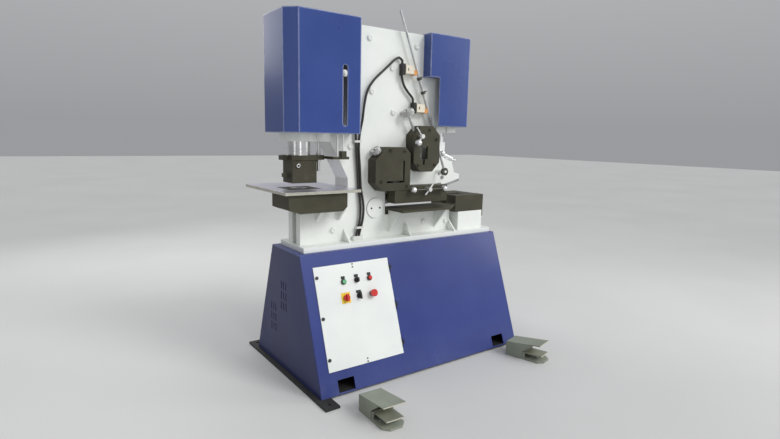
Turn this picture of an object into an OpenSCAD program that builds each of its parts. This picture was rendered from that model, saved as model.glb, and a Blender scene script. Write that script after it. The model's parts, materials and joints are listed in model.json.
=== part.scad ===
// Hydraulic ironworker on a sloped cabinet: punch end at the left, section and
// flat shears in the middle, notcher at the right. Millimetres, +Z up, origin on
// the floor under the middle of the cabinet, operator side at -Y.

/* [Base cabinet] */
// Length of the cabinet
base_len = 1420; // [1400:5:1500]
// Width of the cabinet at its top edge
base_top_w = 336; // [310:2:400]
// Width of the cabinet at its bottom edge
base_bottom_w = 820; // [780:10:900]
// Height of the cabinet top above the floor
base_h = 700; // [690:5:780]
// Thickness of the cabinet sheet
sheet_t = 6; // [4:0.5:8]
// Thickness of the foot rails
foot_t = 12; // [8:1:20]
// Width of a foot rail
foot_w = 80; // [70:1:110]
// Length of a foot rail
foot_len = 1010; // [960:10:1040]
// Overhang of a foot rail past the cabinet end
foot_out = 25; // [15:1:40]
// Diameter of an anchor bolt hole
anchor_d = 18; // [14:1:24]
// Distance of an anchor hole from the rail end
anchor_in = 40; // [30:1:60]
// Width of a fork pocket
fork_w = 98; // [80:2:120]
// Height of a fork pocket above the cabinet floor
fork_h = 62; // [50:2:80]
// Distance of a fork pocket centre from the cabinet end
fork_in = 155; // [140:5:200]

/* [Control door] */
// Width of the door
door_w = 470; // [450:5:520]
// Height of the door along the slope
door_h = 538; // [500:2:550]
// Thickness of the door sheet
door_t = 4; // [3:0.5:6]
// Distance of the door from the left end of the cabinet
door_in = 65; // [50:1:90]
// Distance of the door below the cabinet top, along the slope
door_down = 73; // [60:1:90]
// Spacing of the control columns
button_dx = 82; // [70:1:90]
// Spacing of the two control rows
button_ds = 86; // [70:1:100]
// Radius of a control shank
shank_r = 11; // [10:0.5:12]
// Radius of a control collar
collar_r = 15; // [14:0.5:18]
// Radius of the emergency stop head
estop_r = 20; // [18:0.5:24]

/* [Machine frame] */
// Thickness of the bed plate
bed_t = 28; // [20:1:36]
// Width of the bed plate
bed_w = 288; // [280:2:304]
// Thickness of each side plate
plate_t = 45; // [40:1:50]
// Gap between the side plates
plate_gap = 50; // [46:1:56]
// Height of the lower punch arm above the bed
arm_rise = 190; // [180:2:200]
// Height of the throat knee above the bed
knee_rise = 351; // [340:1:370]
// Height of the punch jaw above the bed
jaw_rise = 550; // [540:2:580]
// Height of the side plates above the bed
frame_rise = 1176; // [1150:2:1200]
// Left end of the lower punch arm
frame_left = -655; // [-660:5:-620]
// Throat wall of the punch end
throat_x = -363; // [-370:1:-350]
// Right edge of the side plates over the shears
frame_right = 255; // [245:1:262]

/* [Punch station] */
// Position of the punch axis
punch_x = -626; // [-640:1:-616]
// Outer radius of the punch cylinder
barrel_r = 100; // [96:1:104]
// Radius of the punch ram
ram_r = 62.5; // [55:0.5:68]
// Height of the die bolster
bolster_h = 97; // [90:1:105]
// Thickness of the punch table
table_t = 15; // [12:1:20]
// Length of the punch table from front to back
table_depth = 540; // [500:10:600]
// Gap between the punch table and the raised tool block
punch_gap = 30; // [28:1:36]
// Downward travel of the ram from its resting height
ram_down = 22; // [10:1:24]
// Upward travel of the ram from its resting height
ram_up = 55; // [30:1:60]
// Radius of the punch tip
punch_tip_r = 20; // [10:0.5:22]
// Thickness of the cover sheet
cover_t = 3; // [2:0.5:5]
// Width of the stroke slot in the left cover
slot_w = 26; // [22:1:30]

/* [Shear station] */
// Position of the beam pivot along the machine
pivot_x = -178; // [-184:1:-172]
// Height of the beam pivot above the bed
pivot_rise = 174; // [170:1:178]
// Radius of the pivot pin
pivot_r = 40; // [34:1:46]
// Swing of the beam in degrees
beam_swing = 8; // [6:0.5:8]
// Position of the shear cylinder axis
shear_x = 340; // [336:1:346]
// Outer radius of the shear cylinder
shear_barrel_r = 75; // [70:1:80]
// Radius of the shear piston rod
shear_rod_r = 30; // [26:1:33]
// Depth of the section shear housings
housing_depth = 80; // [70:1:90]
// Thickness of the face of a section shear housing
face_t = 16; // [12:1:20]
// Width of the angle slot
angle_slot = 12; // [10:1:16]
// Leg length of the largest angle section
angle_leg = 120; // [100:1:124]
// Width of the bar opening
bar_w = 58; // [40:1:60]
// Height of the bar opening
bar_h = 76; // [60:1:78]
// Thickness of the flat shear table
flat_table_t = 12; // [8:1:16]
// Opening under the flat shear clamp
feed_gap = 30; // [25:1:36]
// Radius of a ball knob
ball_r = 20; // [16:1:24]

/* [Foot switches] */
// Width of a foot switch
pedal_w = 124; // [110:2:150]
// Height of the hood at its front
hood_h = 111; // [105:1:130]
// Height of the hood at its back
hood_back = 84; // [78:1:96]
// Length of the foot switch
pedal_len = 236; // [226:2:256]

/* [Hidden] */
$fn = 48;
over = 1;              // overrun of cuts
seat = 0.3;            // gap of a part that lies on its seat
fit = 0.08;            // radial clearance of a running fit
bolt_clear = 0.25;     // radial clearance of a fastener
side_clear = 1;        // clearance of the beam in the frame gap

// Cabinet values
base_x = base_len / 2;
wall_top = base_h - sheet_t;
lean = (base_bottom_w - base_top_w) / 2 / (base_h - foot_t);
lean_a = atan(lean);
sheet_y = sheet_t / cos(lean_a);
floor_top = foot_t + sheet_t;
rail_x = base_x + foot_out - foot_w / 2;
anchor_x = rail_x;
anchor_y = foot_len / 2 - anchor_in;
louvre_w = 8;
louvre_h = 44;
louvre_pitch = 30;
louvre_rows = 3;
louvre_shares = [[0.03, 0.62], [0.2, 0.4]];
function half_w(z) = base_bottom_w / 2 - (z - foot_t) * lean;

// Power pack values
tank_wall = 5;
tank_x = 30;
tank_l = 600;
tank_w = 320;
tank_h = 330;
tank_leg_h = 70;
tank_leg_w = 22;
lid_t = 8;
tank_top = floor_top + tank_h + seat + lid_t;
motor_r = 100;
motor_l = 270;
motor_lift = 14;
bell_r = 86;
bell_l = 36;
shaft_r = 19;
pump_r = 58;
pump_l = 96;
pump_flange_l = 60;
valve_l = 36;
valve_w = 190;
valve_h = 80;
coil_r = 15;
coil_l = 70;
coil_shares = [0.18, 0.45];
pipe_r = 10;
pipe_x_off = 68;
pipe_x = throat_x + pipe_x_off;
pipe_gap = 26;
pipe_lift_share = 0.62;
pipe_port_shares = [0.3, 0.75];
panel_margin = 34;
panel_depth = 120;
panel_t = 4;
post_r = 8;
device_shares = [[0.1, 0.2, 0.3], [0.4, 0.2, 0.45], [0.7, 0.2, 0.35], [0.1, 0.6, 0.55], [0.55, 0.6, 0.3]];
device_h_share = 0.22;

// Door values
door_lift = 0.5;
door_x = -base_x + door_in;
opening_in = 36;
knuckle_r = 6;
knuckle_l = 24;
sleeve_l = 16;
sleeve_gap = 0.5;
hinge_pin_r = 3;
hinge_x = door_w + knuckle_r + side_clear;
hinge_z = door_lift + knuckle_r;
leaf_w = 20;
leaf_t = 3;
hinge_shares = [0.104, 0.498, 0.888];
lock_shares = [0.104, 0.498, 0.888];
lock_in = 13;
lock_r = 9;
lock_h = 4;
screw_r = 4;
screw_h = 2.5;
screw_gap = 16;
door_top = door_lift + door_t;
column_in = 165;
row_down = 96;
collar_h = 8;
press = 4;
cap_show = 3;
cap_h = press + cap_show;
estop_press = 6;
estop_show = 4;
shank_back = 24;
knob_h = 8;
grip_w = 7;
grip_h = 12;
jog_grip_l = 38;
handle_grip_l = 40;
handle_grip_w = 11;
handle_r = 17;
estop_gap = estop_press + estop_show;
estop_h = 13;

// Frame heights and lines
bed_top = base_h + bed_t;
bed_left_off = 15;
bed_left = frame_left - bed_left_off;
bed_right = 696;
plate_in = plate_gap / 2;
plate_out = plate_in + plate_t;
arm_z = bed_top + arm_rise;
knee_z = bed_top + knee_rise;
jaw_z = bed_top + jaw_rise;
frame_top = bed_top + frame_rise;
throat_slope_w = 111;
jaw_x = throat_x - throat_slope_w;
pivot_z = bed_top + pivot_rise;
cut_z_off = 2;
cut_z = pivot_z - cut_z_off;
blade_h = 42;
seat_z = cut_z - blade_h;
gap_left_off = 70;
gap_left = pivot_x + gap_left_off;
gap_top_off = 110;
gap_top = cut_z + gap_top_off;
nose_top_off = 652;
nose_top = bed_top + nose_top_off;
nose_h = 36;
toe_right_off = 60;
toe_right = shear_x + toe_right_off;
strip_w = 40;
spacer_h = 87;
top_bar_h = 40;
tie_r = 12;
tie_head_r = 17;
tie_head_h = 6;
tie_shares = [[-0.3225, 0.949], [-0.104, 0.8231], [-0.2986, 0.7075], [0.138, 0.9397], [-0.0873, 0.6146],
              [-0.49, 0.4486], [-0.6437, 0.057], [0.259, 0.057], [0.518, 0.051]];
gusset_t = 12;
gusset_h = 70;
gusset_d = 70;
bed_gusset_shares = [-0.542, 0.056, 0.553];
arm_gusset_shares = [-0.782, -0.589];
shelf_gusset_shares = [-0.11, 0.39];
shelf_gusset_h = 136;
shelf_gusset_d = 118;

// Punch station values
bolster_top = arm_z + bolster_h;
table_top = bolster_top + table_t;
table_left_off = 174;
table_left = punch_x - table_left_off;
table_right_off = 3;
table_right = throat_x - table_right_off;
table_front = -216;
bolster_left_off = 149;
bolster_left = punch_x - bolster_left_off;
bolster_right_off = 79;
bolster_right = throat_x - bolster_right_off;
bolster_front = -200;
bolster_cut = 22;
bolster_slope = 60;
bolster_back_cut = 135;
bolster_back_y = 8;
die_pad_x = 92;
die_pad_y = 84;
pad_clear = 3;
die_r = 45;
die_deep = 20;
die_clear = 1;
die_bore_r = punch_tip_r + die_clear;
slug_r = 30;
tool_z = table_top + punch_gap;
block_x = 63;
block_more = 13;
block_y = 60;
block_h = 120;
plate_z = tool_z + block_h;
cross_t = 25;
ram_z = plate_z + cross_t;
cross_left = 103;
cross_right = 140;
cross_body = 6;
tab_y = 25;
lug_out = 26;
lug_h = 20;
lug_up = 30;
stud_x_off = 118;
stud_x = punch_x + stud_x_off;
stud_r = 9;
stud_below = 62;
stud_above = 216;
nut_r = 16;
nut_h = 13;
tool_bore_r = 28;
tool_bore_h = 80;
punch_head_h = 40;
punch_in = 6;
barrel_nose = 120;
barrel_wall = 18;
barrel_cap = 38;
piston_spare = 120;
piston_up = barrel_nose + ram_down + piston_spare;
piston_h = 60;
head_spare = 105;
barrel_l = piston_up + piston_h + ram_up + head_spare + barrel_cap;
guide_up = 20;
guide_h = 44;
guide_x = 22;
trip_y = -110;
trip_r = 6;
trip_gap = 34;
trip_x_off = 56;
trip_x = throat_x - trip_x_off;
trip_top_off = 350;
trip_top = jaw_z + trip_top_off;
trip_t = 14;
trip_w = 20;
clamp_w = 30;
clamp_h = 44;

// Left cover values
cover_left_off = 137;
cover_left = punch_x - cover_left_off;
cover_right_off = 13;
cover_right = throat_x + cover_right_off;
cover_y = 176;
cover_bottom_off = 44;
cover_bottom = jaw_z + cover_bottom_off;
cover_top_off = 13;
cover_top = frame_top + cover_top_off;
cover_chamfer = 58;
slot_x_off = 81;
slot_x = throat_x - slot_x_off;
slot_bottom_off = 39;
slot_bottom = cover_bottom + slot_bottom_off;
slot_top_off = 348;
slot_top = cover_bottom + slot_top_off;
stop_z_off = 41;
stop_z = slot_top - stop_z_off;
stop_r_off = 4;
stop_r = slot_w / 2 + stop_r_off;
stop_shank_r = 6;
stop_head = 5;
stop_knob_r = 9;
stop_nut = 7;

// Right cover values
guard_left_off = 188;
guard_left = shear_x - guard_left_off;
guard_right_off = 118;
guard_right = shear_x + guard_right_off;
guard_step_x_off = 116;
guard_step_x = shear_x - guard_step_x_off;
guard_step_z_off = 282;
guard_step_z = nose_top + guard_step_z_off;
guard_y = 139;
guard_top_off = 6;
guard_top = frame_top + guard_top_off;

// Shear beam values
beam_y = plate_in - side_clear;
boss_r = 75;
rake = 7;
blade_left_off = 13;
blade_left = gap_left + blade_left_off;
blade_right_off = 20;
blade_right = shear_x + blade_right_off;
lip = 9;
upper_blade_h = 60;
upper_blade_t = 20;
pin_rise = 313;
pin_z = pivot_z + pin_rise;
pin_r = 15;
pin_slot_r = 18;
slot_spare = 1.5;
pin_slot_l = pin_rise * sin(beam_swing) - (shear_x - pivot_x) * (1 - cos(beam_swing)) + slot_spare;
pin_drop = 1;
lug_wall = 25;
lug_y = 15;
lug_clear = 40;
ear_r = 32;
ear_gap = 1;
ear_t = 20;
ear_top_off = 70;
ear_top = pin_z + ear_top_off;
cap_r = 37;
cap_top_off = 103;
cap_top = pin_z + cap_top_off;
rod_piston_up = 260;
rod_piston_h = 50;
shear_wall = 17;
shear_l = 460;
shear_cap = 40;
nose_x = 78;
nose_notch_w = 18;
nose_notch_d = 14;
disc_r = 58;
disc_h = 6;
dot_r = 5;
dot_h = 3;
function rake_z(x) = pivot_z + (x - pivot_x) * tan(rake);
beam_left_off = 72;
beam_left = pivot_x - beam_left_off;
beam_low = 28;
beam_shoulder = 248;
beam_shoulder_x = 110;
beam_shoulder_rise = 100;
beam_crown = 423;
beam_crown_l = 238;
beam_crown_r = 393;
tail_x_off = 107;
tail_x = shear_x + tail_x_off;
tail_z_off = 53;
tail_z = pin_z - tail_z_off;
tail_low_x_off = 24;
tail_low_x = tail_x + tail_low_x_off;
tail_low_z_off = 72;
tail_low_z = tail_z - tail_low_z_off;
tip_x_off = 44;
tip_x = tail_low_x + tip_x_off;
tip_z_off = 9;
tip_z = tail_low_z - tip_z_off;
tip_h = 31;
heel_x_off = 30;
heel_x = shear_x + heel_x_off;
heel_z_off = 37;
heel_z = tip_z - tip_h - heel_z_off;

// Section shear values
angle_right_off = 190;
angle_right = pivot_x + angle_right_off;
angle_left_off = 52;
angle_left = pivot_x - angle_left_off;
angle_top_off = 351;
angle_top = pivot_z + angle_top_off;
angle_low_off = 103;
angle_low = pivot_z + angle_low_off;
angle_cut_w = 80;
angle_cut_h = 73;
angle_small = 35;
angle_foot = 46;
wall_t = 14;
slot_right_off = 144;
slot_right = pivot_x + slot_right_off;
slot_low_off = 154;
slot_low = pivot_z + slot_low_off;
slot_clear = 1;
window_in = 30;
insert_in = 12;
insert_t = 24;
bar_left_off = 213;
bar_left = pivot_x + bar_left_off;
bar_right_off = 408;
bar_right = pivot_x + bar_right_off;
bar_top_off = 476;
bar_top = pivot_z + bar_top_off;
bar_low_off = 208;
bar_low = pivot_z + bar_low_off;
bar_chamfer = 54;
bar_x_off = 289;
bar_x = pivot_x + bar_x_off;
bar_z_off = 320;
bar_z = pivot_z + bar_z_off;
small_w = 16;
small_h = 33;
rod_notch_x = 110;
rod_notch_z = 92;

// Flat shear values
clamp_left_off = 13;
clamp_left = gap_left + clamp_left_off;
clamp_right_off = 40;
clamp_right = shear_x - clamp_right_off;
clamp_bottom = cut_z + feed_gap;
clamp_top_off = 18;
clamp_top = gap_top + clamp_top_off;
clamp_step_x_off = 2;
clamp_step_x = angle_right + clamp_step_x_off;
clamp_step_z_off = 2;
clamp_step_z = angle_low - clamp_step_z_off;
clamp_front = -plate_out - housing_depth;
shelf_left_off = 3;
shelf_left = gap_left + shelf_left_off;
shelf_right_off = 5;
shelf_right = toe_right - shelf_right_off;
shelf_front = -245;
shelf_cut_x_off = 90;
shelf_cut_x = shear_x - shelf_cut_x_off;
shelf_cut_y = 120;
lower_blade_t = 40;

// Notcher values
notch_left_off = 5;
notch_left = toe_right + notch_left_off;
notch_right_off = 300;
notch_right = shear_x + notch_right_off;
notch_y = 120;
notch_box_left_off = 90;
notch_box_left = shear_x + notch_box_left_off;
notch_wall = 14;
notch_base_off = 118;
notch_base = bed_top + notch_base_off;
notch_top_off = 104;
notch_top = notch_base + notch_top_off;
notch_slot_x_off = 37;
notch_slot_x = tip_x + notch_slot_x_off;
notch_slot_y_off = 3;
notch_slot_y = beam_y + notch_slot_y_off;
notch_plate_t = 10;
notch_plate_back = 150;
gauge_t = 8;
gauge_low = 40;
gauge_y = 70;
punch_bar_h = 16;
blade_bolts = [[-104, -125], [-80, -153]];
blade_bolt_r = 11;
blade_bolt_h = 5;

// Stroke rod values
stroke_a = 22.05;
stroke_y = -100;
stroke_r = 7;
stroke_arm = [497.5, 201.4];
stroke_eye = [pivot_x, pivot_z] + stroke_arm;
stroke_eye_r = 24;
stroke_pin_r = 8;
stroke_slack = 5.7;
stroke_l = 976;
stroke_sleeve_from = 330;
stroke_sleeve_to = 600;
stroke_sleeve_r = 9;
stop_collar_r = 14;
stop_collar_h = 16;
stop_collars = [505, 588];
thumb_r = 4;
thumb_l = 26;
function stroke_point(d) = [stroke_eye[0] - d * sin(stroke_a), stroke_eye[1] + d * cos(stroke_a)];
switch_at = [620, 391];
switch_l = 58;
switch_h = 46;
switch_t = 36;
switch_gap = 18;
switch_up = 14;
switch_plug_l = 16;
switch_plug_h = 62;
arm_r = 7;
roller_r = 15;
roller_t = 30;
function switch_left(d) = stroke_point(d)[0] - stroke_r - switch_gap - roller_r - switch_l;
function switch_z(d) = stroke_point(d)[1] + switch_up;

// Handle values
knob_r = 27;
bar_knob_r = 35;
knob_l = 30;
knob_screw_r = 9;
knob_angle = 42;
bar_knob_angle = 25;
knob_reach = 4;
bar_knob_reach = 97;
lever_r = 7;
lever_hub_r = 13;
lever_ball = [-23, -38];
lever_pin = [-38, 51];
lever_pin_r = 4;
lever_arm_r = 6;
lever_share = 0.2;
ball_gap = 3;
lever_off = [38, -61];
lever_at = [bar_left, bar_top] + lever_off;
lever_y = -plate_out - housing_depth - ball_r - ball_gap;
handle_y = -180;
handle_x_off = 313;
handle_x = pivot_x + handle_x_off;
handle_z_off = 21;
handle_z = clamp_top - handle_z_off;
handle_half = 118;
handle_bar_r = 6;
handle_hub_r = 13;
cross_pin_r = 5;
cross_pin_l = 44;
tube_r = 16;
tube_start = [-56, 42];
tube_end = [14, 16];
tube_from = [tail_x, tail_z] + tube_start;
tube_to = [tail_x, tail_z] + tube_end;
tube_ball_r = 11;
tube_rod_l = 30;
saddle_l = 34;
saddle_h = 34;

// Cable routes, points chosen by hand along the front plate, with heights above the cabinet
cable_r = 7;
cable_y = -86;
cable_sides = 8;
cable_steps = 2;
gland_h = 24;
gland_w = 60;
gland_y = 22;
gland_x = -306;
gland_top = bed_top + gland_h;
outlet_x = -332;
outlet_up = 740;
outlet = [outlet_x, base_h + outlet_up];
outlet_w = 26;
upper_plug_x = switch_left(switch_at[0]) - switch_plug_l / 2;
lower_plug_x = switch_left(switch_at[1]) - switch_plug_l / 2;
plug_half = switch_plug_h / 2;
gland_step = 9.5;
main_points = [[-16, 1040], [-40, 1056], [-72, 1040], [-104, 1012], [-145, 976], [-188, 940], [-220, 906],
    [-245, 870], [-260, 830], [-272, 770], [-281, 700], [-297, 630], [-303, 570], [-302, 520], [-296, 450],
    [-290, 360], [-286, 315], [-276, 270], [-268, 220], [-268, 180], [-274, 135], [-286, 95]];
second_points = [[-331, 690], [-324, 620], [-320, 570], [-318, 520], [-313, 465], [-308, 410], [-305, 360],
    [-301, 315], [-293, 270], [-288, 225], [-288, 185], [-292, 140], [-302, 95]];
link_points = [[-12, 930], [2, 900], [26, 872], [50, 850], [66, 832]];
function route(from, points, to) = concat([from], [for (p = points) p + [0, base_h]], [to]);
main_route = route([upper_plug_x, switch_z(switch_at[0]) + plug_half], main_points,
    [gland_x + gland_step, gland_top]);
second_route = route(outlet, second_points, [gland_x - gland_step, gland_top]);
link_route = route([upper_plug_x, switch_z(switch_at[0]) - plug_half], link_points,
    [lower_plug_x, switch_z(switch_at[1]) + plug_half]);
clip_in = 18;
clip_h = 12;
clip_t = 4;
low_clip_x = -294;
low_clip_up = 100;
high_clip_x = -312;
high_clip_up = 582;
clip_places = [[low_clip_x, base_h + low_clip_up], [high_clip_x, base_h + high_clip_up]];

// Foot switch values
left_hood_x = -592;
left_hood_y = -572;
left_hood_a = -2;
right_hood_x = 520;
right_hood_y = -500;
right_hood_a = 15;
pedal_places = [[left_hood_x, left_hood_y, left_hood_a], [right_hood_x, right_hood_y, right_hood_a]];
hood_t = 5;
hood_side = 106;
hood_front = 218;
hood_reach = 180;
hood_lip = 46;
hood_slope = (hood_h - hood_back) / hood_front;
function hood_mid(y) = hood_back - hood_t / 2 + hood_slope * y;
sole_t = 10;
sole_cut = 30;
switch_box_in = 14;
switch_box_l = 44;
switch_box_h = 60;
treadle_t = 6;
treadle_in = 8;
treadle_l = 112;
treadle_lift = 2;
treadle_y = -112;
treadle_z = 36;
treadle_pin_r = 5;
treadle_hub_r = 9;

// Shared shapes
module block(x0, x1, y0, y1, z0, z1) {
    translate([x0, y0, z0]) cube([x1 - x0, y1 - y0, z1 - z0]);
}

// Outline drawn in x and z, thick along y
module xz_slab(y0, y1) {
    translate([0, y1, 0]) rotate([90, 0, 0]) linear_extrude(y1 - y0) children();
}

// Outline drawn in y and z, thick along x
module yz_slab(x0, x1) {
    translate([x0, 0, 0]) rotate([90, 0, 90]) linear_extrude(x1 - x0) children();
}

module x_rod(y, z, r, x0, x1) {
    translate([x0, y, z]) rotate([0, 90, 0]) cylinder(h = x1 - x0, r = r);
}

module y_rod(x, z, r, y0, y1) {
    translate([x, y1, z]) rotate([90, 0, 0]) cylinder(h = y1 - y0, r = r);
}

module z_rod(x, y, r, z0, z1) {
    translate([x, y, z0]) cylinder(h = z1 - z0, r = r);
}

// Rod between two points of an xz plane
module slant_rod(y, from, to, r) {
    run = to - from;
    translate([from[0], y, from[1]]) rotate([0, atan2(run[0], run[1]), 0]) cylinder(h = norm(run), r = r);
}

// Outline with its four corners cut at 45 degrees
module cut_square(x0, x1, z0, z1, c) {
    polygon([[x0 + c, z0], [x1 - c, z0], [x1, z0 + c], [x1, z1 - c],
             [x1 - c, z1], [x0 + c, z1], [x0, z1 - c], [x0, z0 + c]]);
}

// Right triangle rib standing on a side plate
module rib(x, y0, depth, z0, height) {
    translate([x - gusset_t / 2, 0, 0]) yz_slab(0, gusset_t)
        polygon([[y0, z0], [y0 - depth, z0], [y0, z0 + height]]);
}

// Local frame of the sloped front: x along, y up the slope, z outward
module on_slope(x, down) {
    translate([x, -base_top_w / 2 - down * sin(lean_a), base_h - down * cos(lean_a)])
        rotate([90 - lean_a, 0, 0]) children();
}

module on_door() {
    on_slope(door_x, door_down) children();
}

// Place of a control, column 0 to 2 and row 0 to 1
module at_control(column, row) {
    on_door() translate([column_in + column * button_dx, -row_down - row * button_ds, 0]) children();
}

// Smooth curve through hand-chosen points
function between(p, q, s, t, u) =
    (2 * q + (s - p) * u + (2 * p - 5 * q + 4 * s - t) * u * u + (3 * q - p - 3 * s + t) * u * u * u) / 2;
function smooth(points, steps) = let (last = len(points) - 1) concat(
    [for (i = [0:last - 1]) for (j = [0:steps - 1])
        between(points[max(i - 1, 0)], points[i], points[i + 1], points[min(i + 2, last)], j / steps)],
    [points[last]]);

// Round cable along a route in the xz plane
module cable(points, y, r) {
    path = [for (p = smooth(points, cable_steps)) [p[0], y, p[1]]];
    last = len(path) - 1;
    across = [0, 1, 0];
    rings = [for (i = [0:last]) let (
            way = path[min(i + 1, last)] - path[max(i - 1, 0)],
            run = i == 0 || i == last ? [0, 0, sign(way[2])] : way / norm(way),
            side = cross(run, across))
        for (k = [0:cable_sides - 1]) let (a = 360 * k / cable_sides)
            path[i] + r * (cos(a) * across + sin(a) * side)];
    sides = [for (i = [0:last - 1]) for (k = [0:cable_sides - 1]) let (
            a = i * cable_sides + k,
            b = i * cable_sides + (k + 1) % cable_sides)
        for (f = [[a, a + cable_sides, b + cable_sides], [a, b + cable_sides, b]]) f];
    start = [[for (k = [0:cable_sides - 1]) k]];
    end = [[for (k = [0:cable_sides - 1]) (last + 1) * cable_sides - 1 - k]];
    polyhedron(points = rings, faces = concat(start, sides, end));
}

// Cabinet
module anchor_holes() {
    for (side = [-1, 1]) for (end = [-1, 1])
        z_rod(side * anchor_x, end * anchor_y, anchor_d / 2, -over, floor_top + over);
}

module sub_base() {
    floor_y = half_w(floor_top) - sheet_y;
    color([0.2, 0.22, 0.3]) {
        for (side = [-1, 1]) difference() {
            block(side * rail_x - foot_w / 2, side * rail_x + foot_w / 2, -foot_len / 2, foot_len / 2, 0,
                  foot_t);
            anchor_holes();
        }
        difference() {
            block(-base_x + sheet_t, base_x - sheet_t, -floor_y, floor_y, foot_t, floor_top);
            anchor_holes();
        }
    }
}

module slope_sheet() {
    yz_slab(-base_x + sheet_t, base_x - sheet_t) polygon([
        [-half_w(foot_t), foot_t], [-half_w(foot_t) + sheet_y, foot_t],
        [-half_w(wall_top) + sheet_y, wall_top], [-half_w(wall_top), wall_top]]);
}

module fork_pockets() {
    for (side = [-1, 1]) {
        middle = side * (base_x - fork_in);
        block(middle - fork_w / 2, middle + fork_w / 2, -half_w(foot_t) - over, -half_w(wall_top),
              floor_top, floor_top + fork_h);
    }
}

module hinge_sleeves(share) {
    translate([hinge_x, -door_h * share, hinge_z]) {
        for (end = [-1, 1])
            translate([0, end * (knuckle_l + sleeve_l + 2 * sleeve_gap) / 2, 0]) rotate([90, 0, 0]) {
                cylinder(h = sleeve_l, r = knuckle_r, center = true);
                translate([0, -hinge_z - over, -sleeve_l / 2])
                    cube([knuckle_r + leaf_w, leaf_t + over, sleeve_l]);
                translate([0, -hinge_z - over, -sleeve_l / 2]) cube([knuckle_r, hinge_z + over, sleeve_l]);
            }
        rotate([90, 0, 0])
            cylinder(h = knuckle_l + 2 * sleeve_l + 2 * sleeve_gap, r = hinge_pin_r, center = true);
    }
}

module base_front_panel() {
    color([0.27, 0.32, 0.6]) union() {
        difference() {
            slope_sheet();
            fork_pockets();
            on_door() translate([opening_in, opening_in - door_h, -sheet_t - over])
                cube([door_w - 2 * opening_in, door_h - 2 * opening_in, sheet_t + 2 * over]);
        }
        on_door() for (share = hinge_shares) hinge_sleeves(share);
    }
}

module base_rear_panel() {
    color([0.27, 0.32, 0.6]) mirror([0, 1, 0]) difference() {
        slope_sheet();
        fork_pockets();
    }
}

module end_sheet(x0) {
    yz_slab(x0, x0 + sheet_t) polygon([
        [-half_w(foot_t), foot_t], [half_w(foot_t), foot_t],
        [half_w(wall_top), wall_top], [-half_w(wall_top), wall_top]]);
}

module base_left_end() {
    color([0.25, 0.27, 0.36]) difference() {
        end_sheet(-base_x);
        for (place = louvre_shares) for (row = [0:louvre_rows - 1]) for (column = [-1:1]) {
            y = place[0] * base_bottom_w + column * louvre_pitch;
            z = place[1] * base_h + (row - 1) * (louvre_h + louvre_pitch / 2);
            block(-base_x - over, -base_x + sheet_t + over, y - louvre_w / 2, y + louvre_w / 2,
                  z - louvre_h / 2, z + louvre_h / 2);
        }
    }
}

module base_right_end() {
    color([0.25, 0.27, 0.36]) end_sheet(base_x - sheet_t);
}

module base_top_plate() {
    color([0.27, 0.32, 0.6]) difference() {
        yz_slab(-base_x, base_x) polygon([
            [-half_w(wall_top), wall_top], [half_w(wall_top), wall_top],
            [half_w(base_h), base_h], [-half_w(base_h), base_h]]);
        pipe_holes(wall_top, base_h);
    }
}

// Power pack inside the cabinet
module oil_tank() {
    z0 = floor_top + tank_leg_h;
    color([0.3, 0.33, 0.38]) {
        union() {
            difference() {
                block(tank_x, tank_x + tank_l, -tank_w / 2, tank_w / 2, z0, floor_top + tank_h);
                block(tank_x + tank_wall, tank_x + tank_l - tank_wall, tank_wall - tank_w / 2,
                      tank_w / 2 - tank_wall, z0 + tank_wall, floor_top + tank_h + over);
            }
            for (x = [tank_x, tank_x + tank_l - tank_leg_w])
                block(x, x + tank_leg_w, -tank_w / 2, tank_w / 2, floor_top, z0);
        }
        block(tank_x, tank_x + tank_l, -tank_w / 2, tank_w / 2, tank_top - lid_t, tank_top);
    }
}

motor_x = tank_x + tank_l / 2 - motor_l / 2 + bell_l;
motor_z = tank_top + motor_lift + motor_r;

module electric_motor() {
    color([0.2, 0.3, 0.45]) union() {
        x_rod(0, motor_z, motor_r, motor_x, motor_x + motor_l);
        x_rod(0, motor_z, bell_r, motor_x + motor_l, motor_x + motor_l + bell_l);
        x_rod(0, motor_z, shaft_r, motor_x - bell_l, motor_x + bell_l);
        block(motor_x + bell_l, motor_x + motor_l - bell_l, -motor_r, -motor_r / 2, tank_top, motor_z);
        block(motor_x + bell_l, motor_x + motor_l - bell_l, motor_r / 2, motor_r, tank_top, motor_z);
    }
}

pump_x = motor_x - pump_flange_l - seat;
valve_x = tank_x + tank_wall;

// Pipe from the manifold along the cabinet, up between the plates and across to a cylinder
module pipe_run(x, port_share, x_to, z_to) {
    z = tank_top + valve_h * port_share;
    x_rod(0, z, pipe_r, x, valve_x);
    z_rod(x, 0, pipe_r, z, z_to);
    x_rod(0, z_to, pipe_r, min(x, x_to), max(x, x_to));
    for (bend = [z, z_to]) translate([x, 0, bend]) sphere(r = pipe_r);
}

module pipe_holes(z0, z1) {
    for (x = [pipe_x, pipe_x + pipe_gap]) z_rod(x, 0, pipe_r + bolt_clear, z0 - over, z1 + over);
}

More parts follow.
